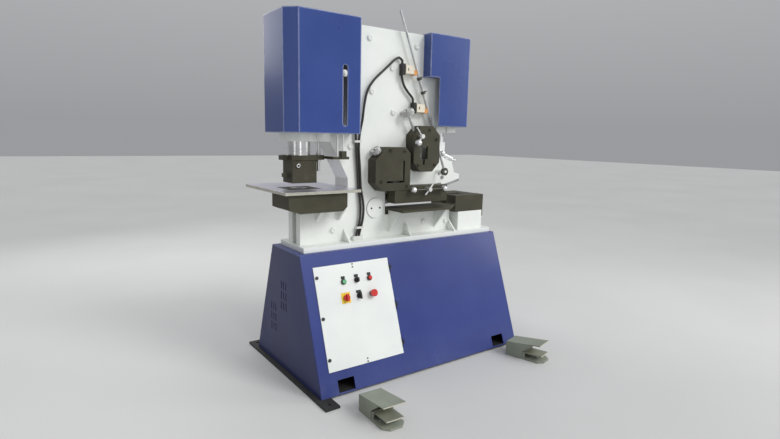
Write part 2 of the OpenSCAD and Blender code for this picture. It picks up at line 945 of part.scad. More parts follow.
module hydraulic_unit() {
    color([0.35, 0.36, 0.38]) {
        union() {
            difference() {
                x_rod(0, motor_z, bell_r, pump_x, pump_x + pump_flange_l);
                x_rod(0, motor_z, shaft_r + side_clear, pump_x + pump_flange_l - bell_l - side_clear,
                      pump_x + pump_flange_l + over);
            }
            x_rod(0, motor_z, pump_r, pump_x - pump_l, pump_x + over);
            block(pump_x - pump_l, pump_x, -pump_r / 2, pump_r / 2, tank_top, motor_z);
        }
        union() {
            block(valve_x, valve_x + valve_l, -tank_w / 2, -tank_w / 2 + valve_w, tank_top,
                  tank_top + valve_h);
            for (share = coil_shares)
                z_rod(valve_x + valve_l / 2, -tank_w / 2 + valve_w * share, coil_r,
                      tank_top + valve_h, tank_top + valve_h + coil_l);
            pipe_run(pipe_x, pipe_port_shares[0], punch_x + barrel_r + seat,
                  jaw_z + barrel_l * pipe_lift_share);
            pipe_run(pipe_x + pipe_gap, pipe_port_shares[1], shear_x - shear_barrel_r - seat,
                     nose_top + shear_l * pipe_lift_share);
        }
    }
}

module electrical_panel() {
    w = door_w - 2 * opening_in;
    h = door_h - 2 * opening_in;
    color([0.75, 0.76, 0.72]) on_door() translate([opening_in, opening_in - door_h, 0]) union() {
        translate([-panel_margin, -panel_margin, -panel_depth]) cube([w + 2 * panel_margin,
              h + 2 * panel_margin,
                                                                      panel_t]);
        for (x = [-panel_margin / 2, w + panel_margin / 2]) for (y = [-panel_margin / 2,
              h + panel_margin / 2])
            translate([x, y, -panel_depth]) cylinder(h = panel_depth - sheet_t, r = post_r);
        for (d = device_shares)
            translate([d[0] * w, d[1] * h, -panel_depth])
                cube([d[2] * w / 2, d[2] * h / 2, panel_depth * 2 * device_h_share]);
    }
}

// Machine frame
module bed_plate() {
    color([0.92, 0.93, 0.92]) difference() {
        block(bed_left, bed_right, -bed_w / 2, bed_w / 2, base_h, bed_top);
        pipe_holes(base_h, bed_top);
    }
}

module frame_outline() {
    polygon([[frame_left, bed_top], [frame_left, arm_z], [throat_x, arm_z], [throat_x, knee_z],
             [jaw_x, jaw_z], [punch_x, jaw_z], [punch_x, frame_top], [shear_x, frame_top],
             [shear_x, nose_top], [frame_right, nose_top], [frame_right, gap_top], [gap_left, gap_top],
             [gap_left, seat_z], [toe_right, seat_z], [toe_right, bed_top]]);
}

module at_ties() {
    for (s = tie_shares) translate([s[0] * base_x, 0, bed_top + s[1] * frame_rise]) children();
}

module side_plate(y0, y1) {
    difference() {
        xz_slab(y0, y1) frame_outline();
        z_rod(punch_x, 0, barrel_r + seat, jaw_z - over, frame_top + over);
        z_rod(shear_x, 0, shear_barrel_r + seat, nose_top - over, frame_top + over);
        y_rod(pivot_x, pivot_z, pivot_r + bolt_clear, y0 - over, y1 + over);
        at_ties() y_rod(0, 0, tie_r + bolt_clear, y0 - over, y1 + over);
        block(slot_right - angle_leg - window_in, slot_right + window_in, y0 - over, y1 + over,
              slot_low - window_in, slot_low + angle_leg + window_in);
        block(bar_x - bar_w / 2 - insert_in, bar_x + bar_w / 2 + insert_in, y0 - over, y1 + over,
              bar_z - bar_h / 2 - small_h - insert_in, bar_z + bar_h / 2 + insert_in);
    }
}

module front_frame_plate() {
    color([0.92, 0.93, 0.92]) side_plate(-plate_out, -plate_in);
}

module rear_frame_plate() {
    color([0.9, 0.91, 0.9]) side_plate(plate_in, plate_out);
}

module frame_spacers() {
    color([0.88, 0.89, 0.88]) difference() {
        union() {
            xz_slab(-plate_in, plate_in) polygon([
                [throat_x, bed_top + spacer_h], [throat_x, knee_z], [jaw_x, jaw_z], [jaw_x + strip_w,
                      jaw_z],
                [throat_x + strip_w, knee_z], [throat_x + strip_w, bed_top + spacer_h]]);
            block(frame_left + strip_w * 2, toe_right, -plate_in, plate_in, bed_top, bed_top + spacer_h);
            block(punch_x + barrel_r + strip_w, shear_x - shear_barrel_r - strip_w, -plate_in, plate_in,
                  frame_top - top_bar_h, frame_top);
            block(stud_x - guide_x, stud_x + guide_x, -plate_in, plate_in, jaw_z + guide_up,
                  jaw_z + guide_up + guide_h);
        }
        z_rod(punch_x, 0, barrel_r + seat, jaw_z - over, frame_top + over);
        z_rod(stud_x, 0, stud_r + fit, jaw_z - over, jaw_z + guide_up + guide_h + over);
        at_ties() y_rod(0, 0, tie_r + bolt_clear, -plate_out, plate_out);
        pipe_holes(bed_top, bed_top + spacer_h);
    }
}

module tie_bolts() {
    color([0.7, 0.71, 0.72]) at_ties() {
        y_rod(0, 0, tie_r, -plate_out - tie_head_h, plate_out + tie_head_h);
        for (side = [-1, 1])
            translate([0, side * (plate_out + tie_head_h / 2), 0]) rotate([90, 0, 0])
                cylinder(h = tie_head_h, r = tie_head_r, center = true);
    }
}

module frame_gussets() {
    color([0.9, 0.91, 0.9]) {
        for (side = [0, 1]) mirror([0, side, 0]) {
            for (s = bed_gusset_shares) rib(s * base_x, -plate_out, gusset_d, bed_top, gusset_h);
            for (s = arm_gusset_shares) translate([0, 0, 2 * arm_z]) mirror([0, 0, 1])
                rib(s * base_x, -plate_out, gusset_d, arm_z, gusset_h);
        }
        for (s = shelf_gusset_shares) translate([0, 0, 2 * (cut_z - flat_table_t)]) mirror([0, 0, 1])
            rib(s * base_x, -plate_out, shelf_gusset_d, cut_z - flat_table_t, shelf_gusset_h);
    }
}

// Punch station
module punch_cylinder() {
    color([0.92, 0.93, 0.92]) difference() {
        z_rod(punch_x, 0, barrel_r, jaw_z, jaw_z + barrel_l);
        z_rod(punch_x, 0, ram_r + fit, jaw_z - over, jaw_z + barrel_nose + over);
        z_rod(punch_x, 0, barrel_r - barrel_wall + fit, jaw_z + barrel_nose, jaw_z + barrel_l - barrel_cap);
    }
}

module punch_ram() {
    color([0.85, 0.86, 0.88]) union() {
        z_rod(punch_x, 0, ram_r, ram_z, jaw_z + piston_up);
        z_rod(punch_x, 0, barrel_r - barrel_wall, jaw_z + piston_up, jaw_z + piston_up + piston_h);
    }
}

module ram_cross_plate() {
    color([0.25, 0.26, 0.2]) difference() {
        union() {
            block(punch_x - block_x - cross_body, punch_x + block_x + block_more + cross_body,
                  -block_y - cross_body, block_y + cross_body, plate_z, ram_z);
            block(punch_x - cross_left, punch_x + cross_right, -tab_y, tab_y, plate_z, ram_z);
        }
        z_rod(stud_x, 0, stud_r + fit, plate_z - over, ram_z + over);
    }
}

module guide_rods() {
    arm_z0 = plate_z + (cross_t - trip_t) / 2;
    color([0.8, 0.81, 0.83]) {
        union() {
            z_rod(stud_x, 0, stud_r, plate_z - stud_below, plate_z + stud_above);
            translate([stud_x, 0, ram_z]) cylinder(h = nut_h, r = nut_r, $fn = 6);
            translate([stud_x, 0, plate_z - nut_h]) cylinder(h = nut_h, r = nut_r, $fn = 6);
        }
        union() {
            block(punch_x + cross_right, punch_x + cross_right + trip_w, trip_y - trip_w / 2, tab_y,
                  arm_z0, arm_z0 + trip_t);
            block(punch_x + cross_right, trip_x + trip_gap, trip_y - trip_w / 2, trip_y + trip_w / 2,
                  arm_z0, arm_z0 + trip_t);
            block(trip_x - clamp_w / 2, trip_x + clamp_w / 2, trip_y - clamp_w / 2, trip_y + clamp_w / 2,
                  arm_z0, arm_z0 + clamp_h);
            z_rod(trip_x, trip_y, trip_r, arm_z0, trip_top);
            z_rod(trip_x - trip_gap, trip_y, trip_r, arm_z0, trip_top);
        }
    }
}

module punch_holder() {
    color([0.25, 0.26, 0.2]) difference() {
        union() {
            block(punch_x - block_x, punch_x + block_x + block_more, -block_y, block_y, tool_z, plate_z);
            block(punch_x - block_x - lug_out, punch_x, -lug_h, lug_h, tool_z + lug_up,
                  tool_z + lug_up + lug_h);
        }
        z_rod(punch_x, 0, tool_bore_r, tool_z - over, tool_z + tool_bore_h);
    }
}

module punch_tool() {
    z_head = tool_z + tool_bore_h - punch_head_h;
    color([0.55, 0.56, 0.58]) union() {
        z_rod(punch_x, 0, tool_bore_r - fit, z_head, tool_z + tool_bore_h);
        z_rod(punch_x, 0, punch_tip_r, tool_z + punch_in, z_head + over);
    }
}

module bolster_plan() {
    polygon([[bolster_left, bolster_front], [bolster_right, bolster_front], [bolster_right, -bolster_front],
             [bolster_left + bolster_back_cut, -bolster_front], [bolster_left, bolster_back_y]]);
}

module die_bolster() {
    color([0.31, 0.31, 0.25]) difference() {
        union() {
            intersection() {
                translate([0, 0, arm_z]) linear_extrude(bolster_h) bolster_plan();
                xz_slab(bolster_front, -bolster_front) polygon([
                    [bolster_left, bolster_top], [bolster_left, arm_z + bolster_cut],
                    [bolster_left + bolster_slope, arm_z], [bolster_right - bolster_cut, arm_z],
                    [bolster_right, arm_z + bolster_cut], [bolster_right, bolster_top]]);
            }
            block(punch_x - die_pad_x, punch_x + die_pad_x, -die_pad_y, die_pad_y, bolster_top - over,
                  table_top);
        }
        z_rod(punch_x, 0, die_r + fit, table_top - die_deep, table_top + over);
        z_rod(punch_x, 0, slug_r, arm_z - over, table_top);
    }
}

module punch_die() {
    color([0.5, 0.51, 0.52]) difference() {
        z_rod(punch_x, 0, die_r, table_top - die_deep, table_top);
        z_rod(punch_x, 0, die_bore_r, table_top - die_deep - over, table_top + over);
    }
}

module punch_table() {
    color([0.72, 0.72, 0.78]) difference() {
        block(table_left, table_right, table_front, table_front + table_depth, bolster_top, table_top);
        block(punch_x - die_pad_x - pad_clear, punch_x + die_pad_x + pad_clear, -die_pad_y - pad_clear,
              die_pad_y + pad_clear, bolster_top - over, table_top + over);
    }
}

module cover_plan(t) {
    c = cover_chamfer - t * (2 - sqrt(2));
    polygon([[cover_left + t + c, t - cover_y], [cover_right - t, t - cover_y], [cover_right - t,
          cover_y - t],
             [cover_left + t + c, cover_y - t], [cover_left + t, cover_y - t - c], [cover_left + t,
                   c + t - cover_y]]);
}

module left_cover() {
    color([0.27, 0.32, 0.6]) difference() {
        translate([0, 0, cover_bottom]) linear_extrude(cover_top - cover_bottom) cover_plan(0);
        translate([0, 0, cover_bottom - over]) linear_extrude(cover_top - cover_bottom - cover_t + over)
            cover_plan(cover_t);
        block(cover_right - cover_t - over, cover_right + over, -plate_out, plate_out, cover_bottom - over,
              frame_top + seat);
        block(slot_x - slot_w / 2, slot_x + slot_w / 2, -cover_y - over, -cover_y + cover_t + over,
              slot_bottom + slot_w / 2, slot_top - slot_w / 2);
        for (z = [slot_bottom + slot_w / 2, slot_top - slot_w / 2])
            y_rod(slot_x, z, slot_w / 2, -cover_y - over, -cover_y + cover_t + over);
    }
}

module stroke_stop_knob() {
    color([0.93, 0.93, 0.9]) union() {
        y_rod(slot_x, stop_z, stop_shank_r, -cover_y - stop_head, -cover_y + cover_t + stop_nut);
        y_rod(slot_x, stop_z, stop_knob_r, -cover_y - stop_head, -cover_y + cover_t);
        y_rod(slot_x, stop_z, stop_r, -cover_y + cover_t + seat, -cover_y + cover_t + seat + stop_nut);
    }
}

// Shear station
module guard_outline(t) {
    polygon([[guard_left + t, guard_top - t], [guard_right - t, guard_top - t],
             [guard_right - t, nose_top - (t > 0 ? over : 0)], [guard_step_x + t,
                   nose_top - (t > 0 ? over : 0)],
             [guard_step_x + t, guard_step_z + t], [guard_left + t, guard_step_z + t]]);
}

module right_cover() {
    color([0.27, 0.32, 0.6]) difference() {
        xz_slab(-guard_y, guard_y) guard_outline(0);
        xz_slab(-guard_y + cover_t, guard_y - cover_t) guard_outline(cover_t);
        block(guard_left - over, guard_step_x + cover_t + over, -plate_out, plate_out, nose_top - over,
              frame_top + seat);
        block(guard_step_x - over, guard_step_x + cover_t + over, -guard_y + cover_t, -plate_out + over,
              nose_top - over, guard_step_z);
    }
}

module shear_cylinder() {
    color([0.92, 0.93, 0.92]) difference() {
        union() {
            z_rod(shear_x, 0, shear_barrel_r, nose_top - over, nose_top + shear_l);
            block(shear_x - nose_x, shear_x + nose_x, -nose_x, nose_x, nose_top - nose_h, nose_top);
        }
        z_rod(shear_x, 0, shear_rod_r + fit, nose_top - nose_h - over, nose_top + nose_h + over);
        z_rod(shear_x, 0, shear_barrel_r - shear_wall + fit, nose_top + nose_h,
              nose_top + shear_l - shear_cap);
        block(shear_x - nose_notch_w / 2, shear_x + nose_notch_w / 2, -nose_x - over,
              -nose_x + nose_notch_d,
              nose_top - nose_h - over, nose_top + over);
    }
}

module shear_rod() {
    color([0.82, 0.83, 0.85]) union() {
        for (side = [0, 1]) mirror([0, side, 0]) {
            y_rod(shear_x, pin_z, ear_r, -lug_y - ear_gap - ear_t, -lug_y - ear_gap);
            block(shear_x - ear_r, shear_x + ear_r, -lug_y - ear_gap - ear_t, -lug_y - ear_gap, pin_z,
                  ear_top);
        }
        z_rod(shear_x, 0, cap_r, ear_top, cap_top);
        z_rod(shear_x, 0, shear_rod_r, cap_top, nose_top + rod_piston_up);
        z_rod(shear_x, 0, shear_barrel_r - shear_wall, nose_top + rod_piston_up,
              nose_top + rod_piston_up + rod_piston_h);
        y_rod(shear_x, pin_z, pin_r, -lug_y - ear_t - pin_r, lug_y + ear_t + pin_r);
        for (side = [-1, 1])
            translate([shear_x, side * (lug_y + ear_t + pin_r), pin_z]) sphere(r = ball_r);
    }
}

module beam_outline() {
    polygon([[beam_left, pivot_z + beam_low], [beam_left, pivot_z + beam_shoulder],
             [beam_left + beam_shoulder_x, pivot_z + beam_shoulder + beam_shoulder_rise],
             [pivot_x + beam_crown_l, pivot_z + beam_crown], [pivot_x + beam_crown_r, pivot_z + beam_crown],
             [shear_x - pin_slot_l - pin_slot_r - lug_wall, pin_z + pin_slot_r + lug_wall],
             [shear_x + pin_slot_r + lug_wall, pin_z + pin_slot_r + lug_wall],
             [shear_x + pin_slot_r + lug_wall, pin_z - lug_clear], [tail_x, tail_z], [tail_low_x,
                   tail_low_z],
             [tip_x, tip_z], [tip_x, tip_z - tip_h], [heel_x, heel_z], [blade_right + lip,
                   rake_z(blade_right) + lip],
             [blade_left - lip, rake_z(blade_left) + lip], [pivot_x, pivot_z]]);
}

module angle_insert_window() {
    block(slot_right - angle_leg - insert_in, slot_right + angle_slot / 2 + insert_in, -beam_y - over,
          beam_y + over,
          slot_low - angle_slot / 2 - insert_in, slot_low + angle_leg + insert_in);
}

module bar_insert_window() {
    block(bar_x - bar_w / 2 - insert_in, bar_x + bar_w / 2 + insert_in, -beam_y - over, beam_y + over,
          bar_z - bar_h / 2 - small_h - insert_in, bar_z + bar_h / 2 + insert_in);
}

module upper_blade_bar() {
    xz_slab(-beam_y, -beam_y + upper_blade_t) polygon([
        [blade_left, rake_z(blade_left)], [blade_right, rake_z(blade_right)],
        [blade_right, rake_z(blade_right) + upper_blade_h], [blade_left,
              rake_z(blade_left) + upper_blade_h]]);
}

module shear_beam() {
    color([0.92, 0.93, 0.92]) difference() {
        union() {
            xz_slab(-beam_y, beam_y) beam_outline();
            y_rod(pivot_x, pivot_z, boss_r, -beam_y, beam_y);
            y_rod(stroke_eye[0], stroke_eye[1], stroke_pin_r, stroke_y - stroke_eye_r / 2, 0);
        }
        y_rod(pivot_x, pivot_z, pivot_r + fit, -beam_y - over, beam_y + over);
        angle_insert_window();
        bar_insert_window();
        upper_blade_bar();
        for (y = [-beam_y - over, lug_y])
            block(pivot_x + beam_crown_r, shear_x + pin_slot_r + lug_wall + over, y,
                  y + beam_y - lug_y + over,
                  pin_z - lug_clear, pivot_z + beam_crown + over);
        for (x = [shear_x - pin_slot_l, shear_x])
            y_rod(x, pin_z - pin_drop, pin_slot_r, -beam_y - over, beam_y + over);
        block(shear_x - pin_slot_l, shear_x, -beam_y - over, beam_y + over, pin_z - pin_drop - pin_slot_r,
              pin_z - pin_drop + pin_slot_r);
    }
}

module angle_slots(clear, y0, y1) {
    half = angle_slot / 2 + clear;
    block(slot_right - angle_leg, slot_right + half, y0, y1, slot_low - half, slot_low + half);
    block(slot_right - half, slot_right + half, y0, y1, slot_low - half, slot_low + angle_leg);
}

module bar_slots(clear, y0, y1) {
    block(bar_x - bar_w / 2 - clear, bar_x + bar_w / 2 + clear, y0, y1, bar_z - bar_h / 2 - clear,
          bar_z + bar_h / 2 + clear);
    block(bar_x - small_w / 2 - clear, bar_x + small_w / 2 + clear, y0, y1, bar_z - bar_h / 2 - small_h,
          bar_z);
}

module shear_blades() {
    color([0.45, 0.46, 0.48]) {
        difference() {
            intersection() {
                angle_insert_window();
                xz_slab(-beam_y, -beam_y + insert_t) beam_outline();
            }
            angle_slots(slot_clear, -beam_y - over, beam_y);
        }
        difference() {
            intersection() {
                bar_insert_window();
                xz_slab(-beam_y, -beam_y + insert_t) beam_outline();
            }
            bar_slots(slot_clear, -beam_y - over, beam_y);
        }
        upper_blade_bar();
        for (b = blade_bolts)
            y_rod(tail_x + b[0], pin_z + b[1], blade_bolt_r, -beam_y - blade_bolt_h, -beam_y);
        xz_slab(-beam_y, beam_y) polygon([
            [heel_x + tip_h, heel_z + tip_h * (tip_z - tip_h - heel_z) / (tip_x - heel_x)], [tip_x,
                  tip_z - tip_h],
            [tip_x, tip_z - tip_h - punch_bar_h],
            [heel_x + tip_h, heel_z + tip_h * (tip_z - tip_h - heel_z) / (tip_x - heel_x) - punch_bar_h]]);
    }
}

module stripper_tube() {
    run = tube_to - tube_from;
    end = tube_to + run / norm(run) * tube_rod_l;
    middle = (tube_from + tube_to) / 2;
    color([0.82, 0.83, 0.85]) difference() {
        union() {
            slant_rod(0, tube_from, tube_to, tube_r);
            slant_rod(0, tube_from, end, tube_ball_r / 2);
            translate([end[0], 0, end[1]]) sphere(r = tube_ball_r);
            translate([middle[0], 0, middle[1]]) rotate([0, atan2(-run[1], run[0]), 0])
                translate([-saddle_l / 2, -tube_r / 2, -saddle_h]) cube([saddle_l, tube_r, saddle_h]);
        }
        xz_slab(-beam_y, beam_y) beam_outline();
    }
}

module pivot_pin() {
    color([0.86, 0.87, 0.87]) union() {
        y_rod(pivot_x, pivot_z, pivot_r, -plate_out - disc_h, plate_out + disc_h);
        for (y = [-plate_out - disc_h, plate_out]) y_rod(pivot_x, pivot_z, disc_r, y, y + disc_h);
        for (side = [0.5, -0.5]) y_rod(pivot_x + side * disc_r, pivot_z, dot_r,
              -plate_out - disc_h - dot_h, -plate_out);
    }
}

// Octagonal face and open-backed walls of a section shear
module angle_outline(t) {
    c = t * (2 - sqrt(2));
    polygon([[angle_left + t, angle_low + t + angle_foot - c / 2], [angle_left + t,
          angle_top - t - angle_cut_h + c / 2],
             [angle_left + t + angle_cut_w - c / 2, angle_top - t],
                   [angle_right - t - angle_small + c / 2, angle_top - t],
             [angle_right - t, angle_top - t - angle_small + c / 2], [angle_right - t, angle_low + t],
             [angle_left + t + angle_foot - c / 2, angle_low + t]]);
}

module angle_shear_housing() {
    y0 = -plate_out - housing_depth;
    color([0.2, 0.21, 0.16]) difference() {
        xz_slab(y0, -plate_out) angle_outline(0);
        xz_slab(y0 + face_t, -plate_out + over) angle_outline(wall_t);
        angle_slots(0, y0 - over, -plate_out);
        knob_bore(angle_knob_seat(), knob_angle);
    }
}

module bar_shear_housing() {
    y0 = -plate_out - housing_depth;
    color([0.2, 0.21, 0.16]) difference() {
        xz_slab(y0, -plate_out) cut_square(bar_left, bar_right, bar_low, bar_top, bar_chamfer);
        xz_slab(y0 + face_t, -plate_out + over)
            cut_square(bar_left + wall_t, bar_right - wall_t, bar_low + wall_t, bar_top - wall_t,
                       bar_chamfer - wall_t * (2 - sqrt(2)));
        block(bar_right - rod_notch_x, bar_right + over, y0 + face_t, -plate_out + over,
              bar_top - rod_notch_z,
              bar_top + over);
        bar_slots(0, y0 - over, -plate_out);
        knob_bore(bar_knob_seat(), bar_knob_angle);
        y_rod(lever_at[0], lever_at[1], lever_r + fit, y0 - over, y0 + face_t + over);
    }
}

// Clamp screws stand square on the cut corners, at mid depth
knob_y = -plate_out - housing_depth / 2;
function angle_knob_seat() = [angle_left + angle_cut_w / 2, angle_top - angle_cut_h / 2];
function bar_knob_seat() = [bar_left + bar_chamfer / 2, bar_top - bar_chamfer / 2];

module on_corner(at, turn) {
    translate([at[0], knob_y, at[1]]) rotate([0, -turn, 0]) children();
}

module knob_bore(at, turn) {
    on_corner(at, turn) translate([0, 0, -wall_t * 2]) cylinder(h = wall_t * 4, r = knob_screw_r + fit);
}

module clamp_knob(reach, r) {
    translate([0, 0, -wall_t * 2]) cylinder(h = reach + wall_t * 2 + over, r = knob_screw_r);
    translate([0, 0, reach]) cylinder(h = knob_l, r = r);
    translate([0, 0, reach + knob_l]) cylinder(h = lever_r, r = knob_screw_r);
}

module angle_clamp_knob() {
    color([0.8, 0.81, 0.82]) on_corner(angle_knob_seat(), knob_angle) clamp_knob(knob_reach, knob_r);
}

module bar_clamp_knob() {
    color([0.8, 0.81, 0.82]) on_corner(bar_knob_seat(), bar_knob_angle)
        clamp_knob(bar_knob_reach, bar_knob_r);
}

module bar_clamp_lever() {
    y0 = -plate_out - housing_depth;
    ball = lever_at + lever_ball;
    color([0.82, 0.83, 0.85]) union() {
        y_rod(lever_at[0], lever_at[1], lever_r, lever_y + lever_hub_r, y0 + face_t);
        y_rod(lever_at[0], lever_at[1], lever_hub_r, lever_y - lever_hub_r, y0 - seat);
        slant_rod(lever_y, lever_at + lever_ball * lever_share, ball, lever_arm_r);
        slant_rod(lever_y, lever_at + lever_pin * lever_share, lever_at + lever_pin, lever_pin_r);
        translate([ball[0], lever_y, ball[1]]) rotate([0, atan2(lever_ball[0], lever_ball[1]), 0])
            sphere(r = ball_r);
    }
}

module flat_shear_clamp() {
    color([0.2, 0.21, 0.16]) difference() {
        xz_slab(clamp_front, -plate_out) polygon([
            [clamp_left, clamp_bottom], [clamp_right, clamp_bottom], [clamp_right, clamp_top],
            [clamp_step_x, clamp_top], [clamp_step_x, clamp_step_z], [clamp_left, clamp_step_z]]);
        y_rod(handle_x, handle_z, handle_bar_r + fit, clamp_front - over, -plate_out);
    }
}

module clamp_handle() {
    color([0.82, 0.83, 0.85]) union() {
        y_rod(handle_x, handle_z, handle_bar_r, handle_y, clamp_front + face_t);
        y_rod(handle_x, handle_z, handle_hub_r, handle_y - handle_hub_r, clamp_front - seat);
        x_rod(handle_y, handle_z, handle_bar_r, handle_x - handle_half, handle_x + handle_half);
        for (side = [-1, 1]) translate([handle_x + side * handle_half, handle_y, handle_z])
            rotate([0, 90, 0]) sphere(r = ball_r);
        translate([handle_x, handle_y, handle_z]) rotate([0, knob_angle, 0])
            cylinder(h = 2 * cross_pin_l, r = cross_pin_r, center = true);
    }
}

module flat_lower_blade() {
    color([0.7, 0.71, 0.73]) block(gap_left, toe_right - strip_w, -plate_in - lower_blade_t, -plate_in,
          seat_z, cut_z);
}

module shear_table() {
    color([0.2, 0.21, 0.16]) translate([0, 0, cut_z - flat_table_t]) linear_extrude(flat_table_t) polygon([
        [shelf_left, -plate_out], [shelf_left, shelf_front], [shelf_cut_x, shelf_front],
        [shelf_right, shelf_front + shelf_cut_y], [shelf_right, -plate_out]]);
}

module notcher_box() {
    color([0.92, 0.93, 0.92]) difference() {
        block(notch_box_left, notch_right, -notch_y, notch_y, bed_top, notch_base);
        block(notch_box_left + notch_wall, notch_right - notch_wall, -notch_y + notch_wall,
              notch_y - notch_wall,
              bed_top - over, notch_base + over);
    }
}

module notcher_die() {
    color([0.2, 0.21, 0.16]) difference() {
        union() {
            block(notch_left, notch_right, -notch_y, notch_y, notch_base, notch_top);
            block(notch_left, notch_right, -notch_y, notch_plate_back, notch_top - notch_plate_t,
                  notch_top);
            block(notch_right, notch_right + gauge_t, -notch_y, -notch_y + gauge_y,
                  notch_base - gauge_low, notch_top);
        }
        block(notch_left - over, notch_slot_x, -notch_slot_y, notch_slot_y, notch_base - over,
              notch_top + over);
    }
}

// Stroke rod and its limit switches
module stroke_rod() {
    half = stroke_eye_r / 3;
    y0 = stroke_y - half - over;
    y1 = stroke_y + half + over;
    hole = stroke_eye - stroke_slack / 2 * [cos(stroke_a), sin(stroke_a)];
    color([0.78, 0.79, 0.8]) difference() {
        union() {
            slant_rod(stroke_y, stroke_eye, stroke_point(stroke_l), stroke_r);
            slant_rod(stroke_y, stroke_point(stroke_sleeve_from), stroke_point(stroke_sleeve_to),
                      stroke_sleeve_r);
            y_rod(stroke_eye[0], stroke_eye[1], stroke_eye_r, y0 + over, y1 - over);
            for (d = stop_collars) {
                at = stroke_point(d);
                slant_rod(stroke_y, stroke_point(d - stop_collar_h / 2),
                      stroke_point(d + stop_collar_h / 2),
                          stop_collar_r);
                slant_rod(stroke_y, at, at + thumb_l * [cos(stroke_a), sin(stroke_a)], thumb_r);
            }
        }
        y_rod(hole[0], hole[1], stroke_pin_r + seat + stroke_slack / 2, y0, y1);
    }
}

module limit_switch(d) {
    at = stroke_point(d);
    x0 = switch_left(d);
    z = switch_z(d);
    roller_x = at[0] - (stroke_sleeve_r + roller_r + side_clear) / cos(stroke_a);
    back = stroke_y + switch_t / 2;
    union() {
        block(x0, x0 + switch_l, stroke_y - switch_t / 2, back, z - switch_h / 2, z + switch_h / 2);
        block(x0, x0 + switch_l / 2, back - over, -plate_out, z - switch_h / 2, z + switch_h / 2);
        block(x0 - switch_plug_l, x0 + over, stroke_y - switch_t / 3, cable_y + switch_t / 3,
              z - switch_plug_h / 2, z + switch_plug_h / 2);
        x_rod(stroke_y, at[1], arm_r, x0 + switch_l - over, roller_x);
        y_rod(roller_x, at[1], roller_r, stroke_y - roller_t / 2, stroke_y + roller_t / 2);
    }
}

module limit_switches() {
    color([0.9, 0.89, 0.84]) for (d = switch_at) limit_switch(d);
}

module switch_cables() {
    color([0.08, 0.08, 0.09]) {
        cable(main_route, cable_y, cable_r);
        cable(second_route, cable_y, cable_r);
        cable(link_route, cable_y, cable_r);
    }
}

module cable_clips() {
    color([0.9, 0.91, 0.9]) {
        block(gland_x - gland_w / 2, gland_x + gland_w / 2, cable_y - gland_y / 2, cable_y + gland_y / 2,
              bed_top, gland_top);
        block(outlet[0] - outlet_w / 2, outlet[0] + outlet_w / 2, cable_y - gland_y / 2, -plate_out,
              outlet[1], outlet[1] + gland_h);
        for (p = clip_places) difference() {
            block(p[0] - clip_in - clip_t, p[0] + clip_in + clip_t, cable_y - cable_r - seat - clip_t,
                  -plate_out,
                  p[1] - clip_h / 2, p[1] + clip_h / 2);
            block(p[0] - clip_in, p[0] + clip_in, cable_y - cable_r - seat, -plate_out + over,
                  p[1] - clip_h / 2 - over, p[1] + clip_h / 2 + over);
        }
    }
}

// Control door and its fittings
module control_door() {
    color([0.93, 0.94, 0.92]) on_door() difference() {
        union() {
            translate([0, -door_h, door_lift]) cube([door_w, door_h, door_t]);
            for (share = hinge_shares) translate([0, -door_h * share, 0]) {
                translate([hinge_x, 0, hinge_z]) rotate([90, 0, 0])
                    cylinder(h = knuckle_l, r = knuckle_r, center = true);
                translate([door_w - over, -knuckle_l / 2, door_lift]) cube([hinge_x - door_w + over,
                      knuckle_l, door_t]);
            }
        }
        for (share = hinge_shares) translate([hinge_x, -door_h * share, hinge_z]) rotate([90, 0, 0])
            cylinder(h = knuckle_l + 2 * over, r = hinge_pin_r + fit, center = true);
        for (column = [0:2]) for (row = [0, 1])
            translate([column_in + column * button_dx, -row_down - row * button_ds, door_lift - over])
                cylinder(h = door_t + 2 * over, r = shank_r + bolt_clear);
    }
}

module door_fittings() {
    color([0.09, 0.09, 0.1]) {
        for (column = [0:2]) for (row = [0, 1]) at_control(column, row) difference() {
            translate([0, 0, door_top]) cylinder(h = collar_h, r = collar_r);
            translate([0, 0, door_top - over]) cylinder(h = collar_h + 2 * over, r = shank_r + fit);
        }
        on_door() {
            for (share = lock_shares) translate([lock_in, -door_h * share, door_top])
                cylinder(h = lock_h, r = lock_r);
            for (y = [-screw_gap / 2, -screw_gap * 1.5, screw_gap / 2 - door_h, screw_gap * 1.5 - door_h])
                translate([door_w / 2, y, door_top]) cylinder(h = screw_h, r = screw_r);
        }
    }
}

module shank(above) {
    translate([0, 0, -shank_back]) cylinder(h = shank_back + door_top + collar_h + above, r = shank_r);
}

module start_button() {
    color([0.1, 0.55, 0.25]) at_control(0, 0) shank(cap_h);
}

module stop_button() {
    color([0.8, 0.12, 0.1]) at_control(2, 0) shank(cap_h);
}

module turn_knob(grip_l, grip) {
    shank(knob_h);
    translate([-grip / 2, -grip_l / 2, door_top + collar_h + knob_h]) cube([grip, grip_l, grip_h]);
}

module mode_selector() {
    color([0.09, 0.09, 0.1]) at_control(1, 0) turn_knob(2 * shank_r, grip_w);
}

module jog_selector() {
    color([0.09, 0.09, 0.1]) at_control(1, 1) turn_knob(jog_grip_l, grip_w);
}

module isolator_handle() {
    color([0.8, 0.12, 0.1]) at_control(0, 1) union() {
        turn_knob(handle_grip_l, handle_grip_w);
        translate([0, 0, door_top + collar_h + side_clear]) cylinder(h = knob_h - side_clear, r = handle_r);
    }
}

module emergency_stop() {
    color([0.8, 0.12, 0.1]) at_control(2, 1) union() {
        shank(estop_gap);
        translate([0, 0, door_top + collar_h + estop_gap]) cylinder(h = estop_h, r = estop_r);
    }
}

// Foot switches
module at_pedal(place) {
    translate([place[0], place[1], 0]) rotate([0, 0, place[2]]) children();
}

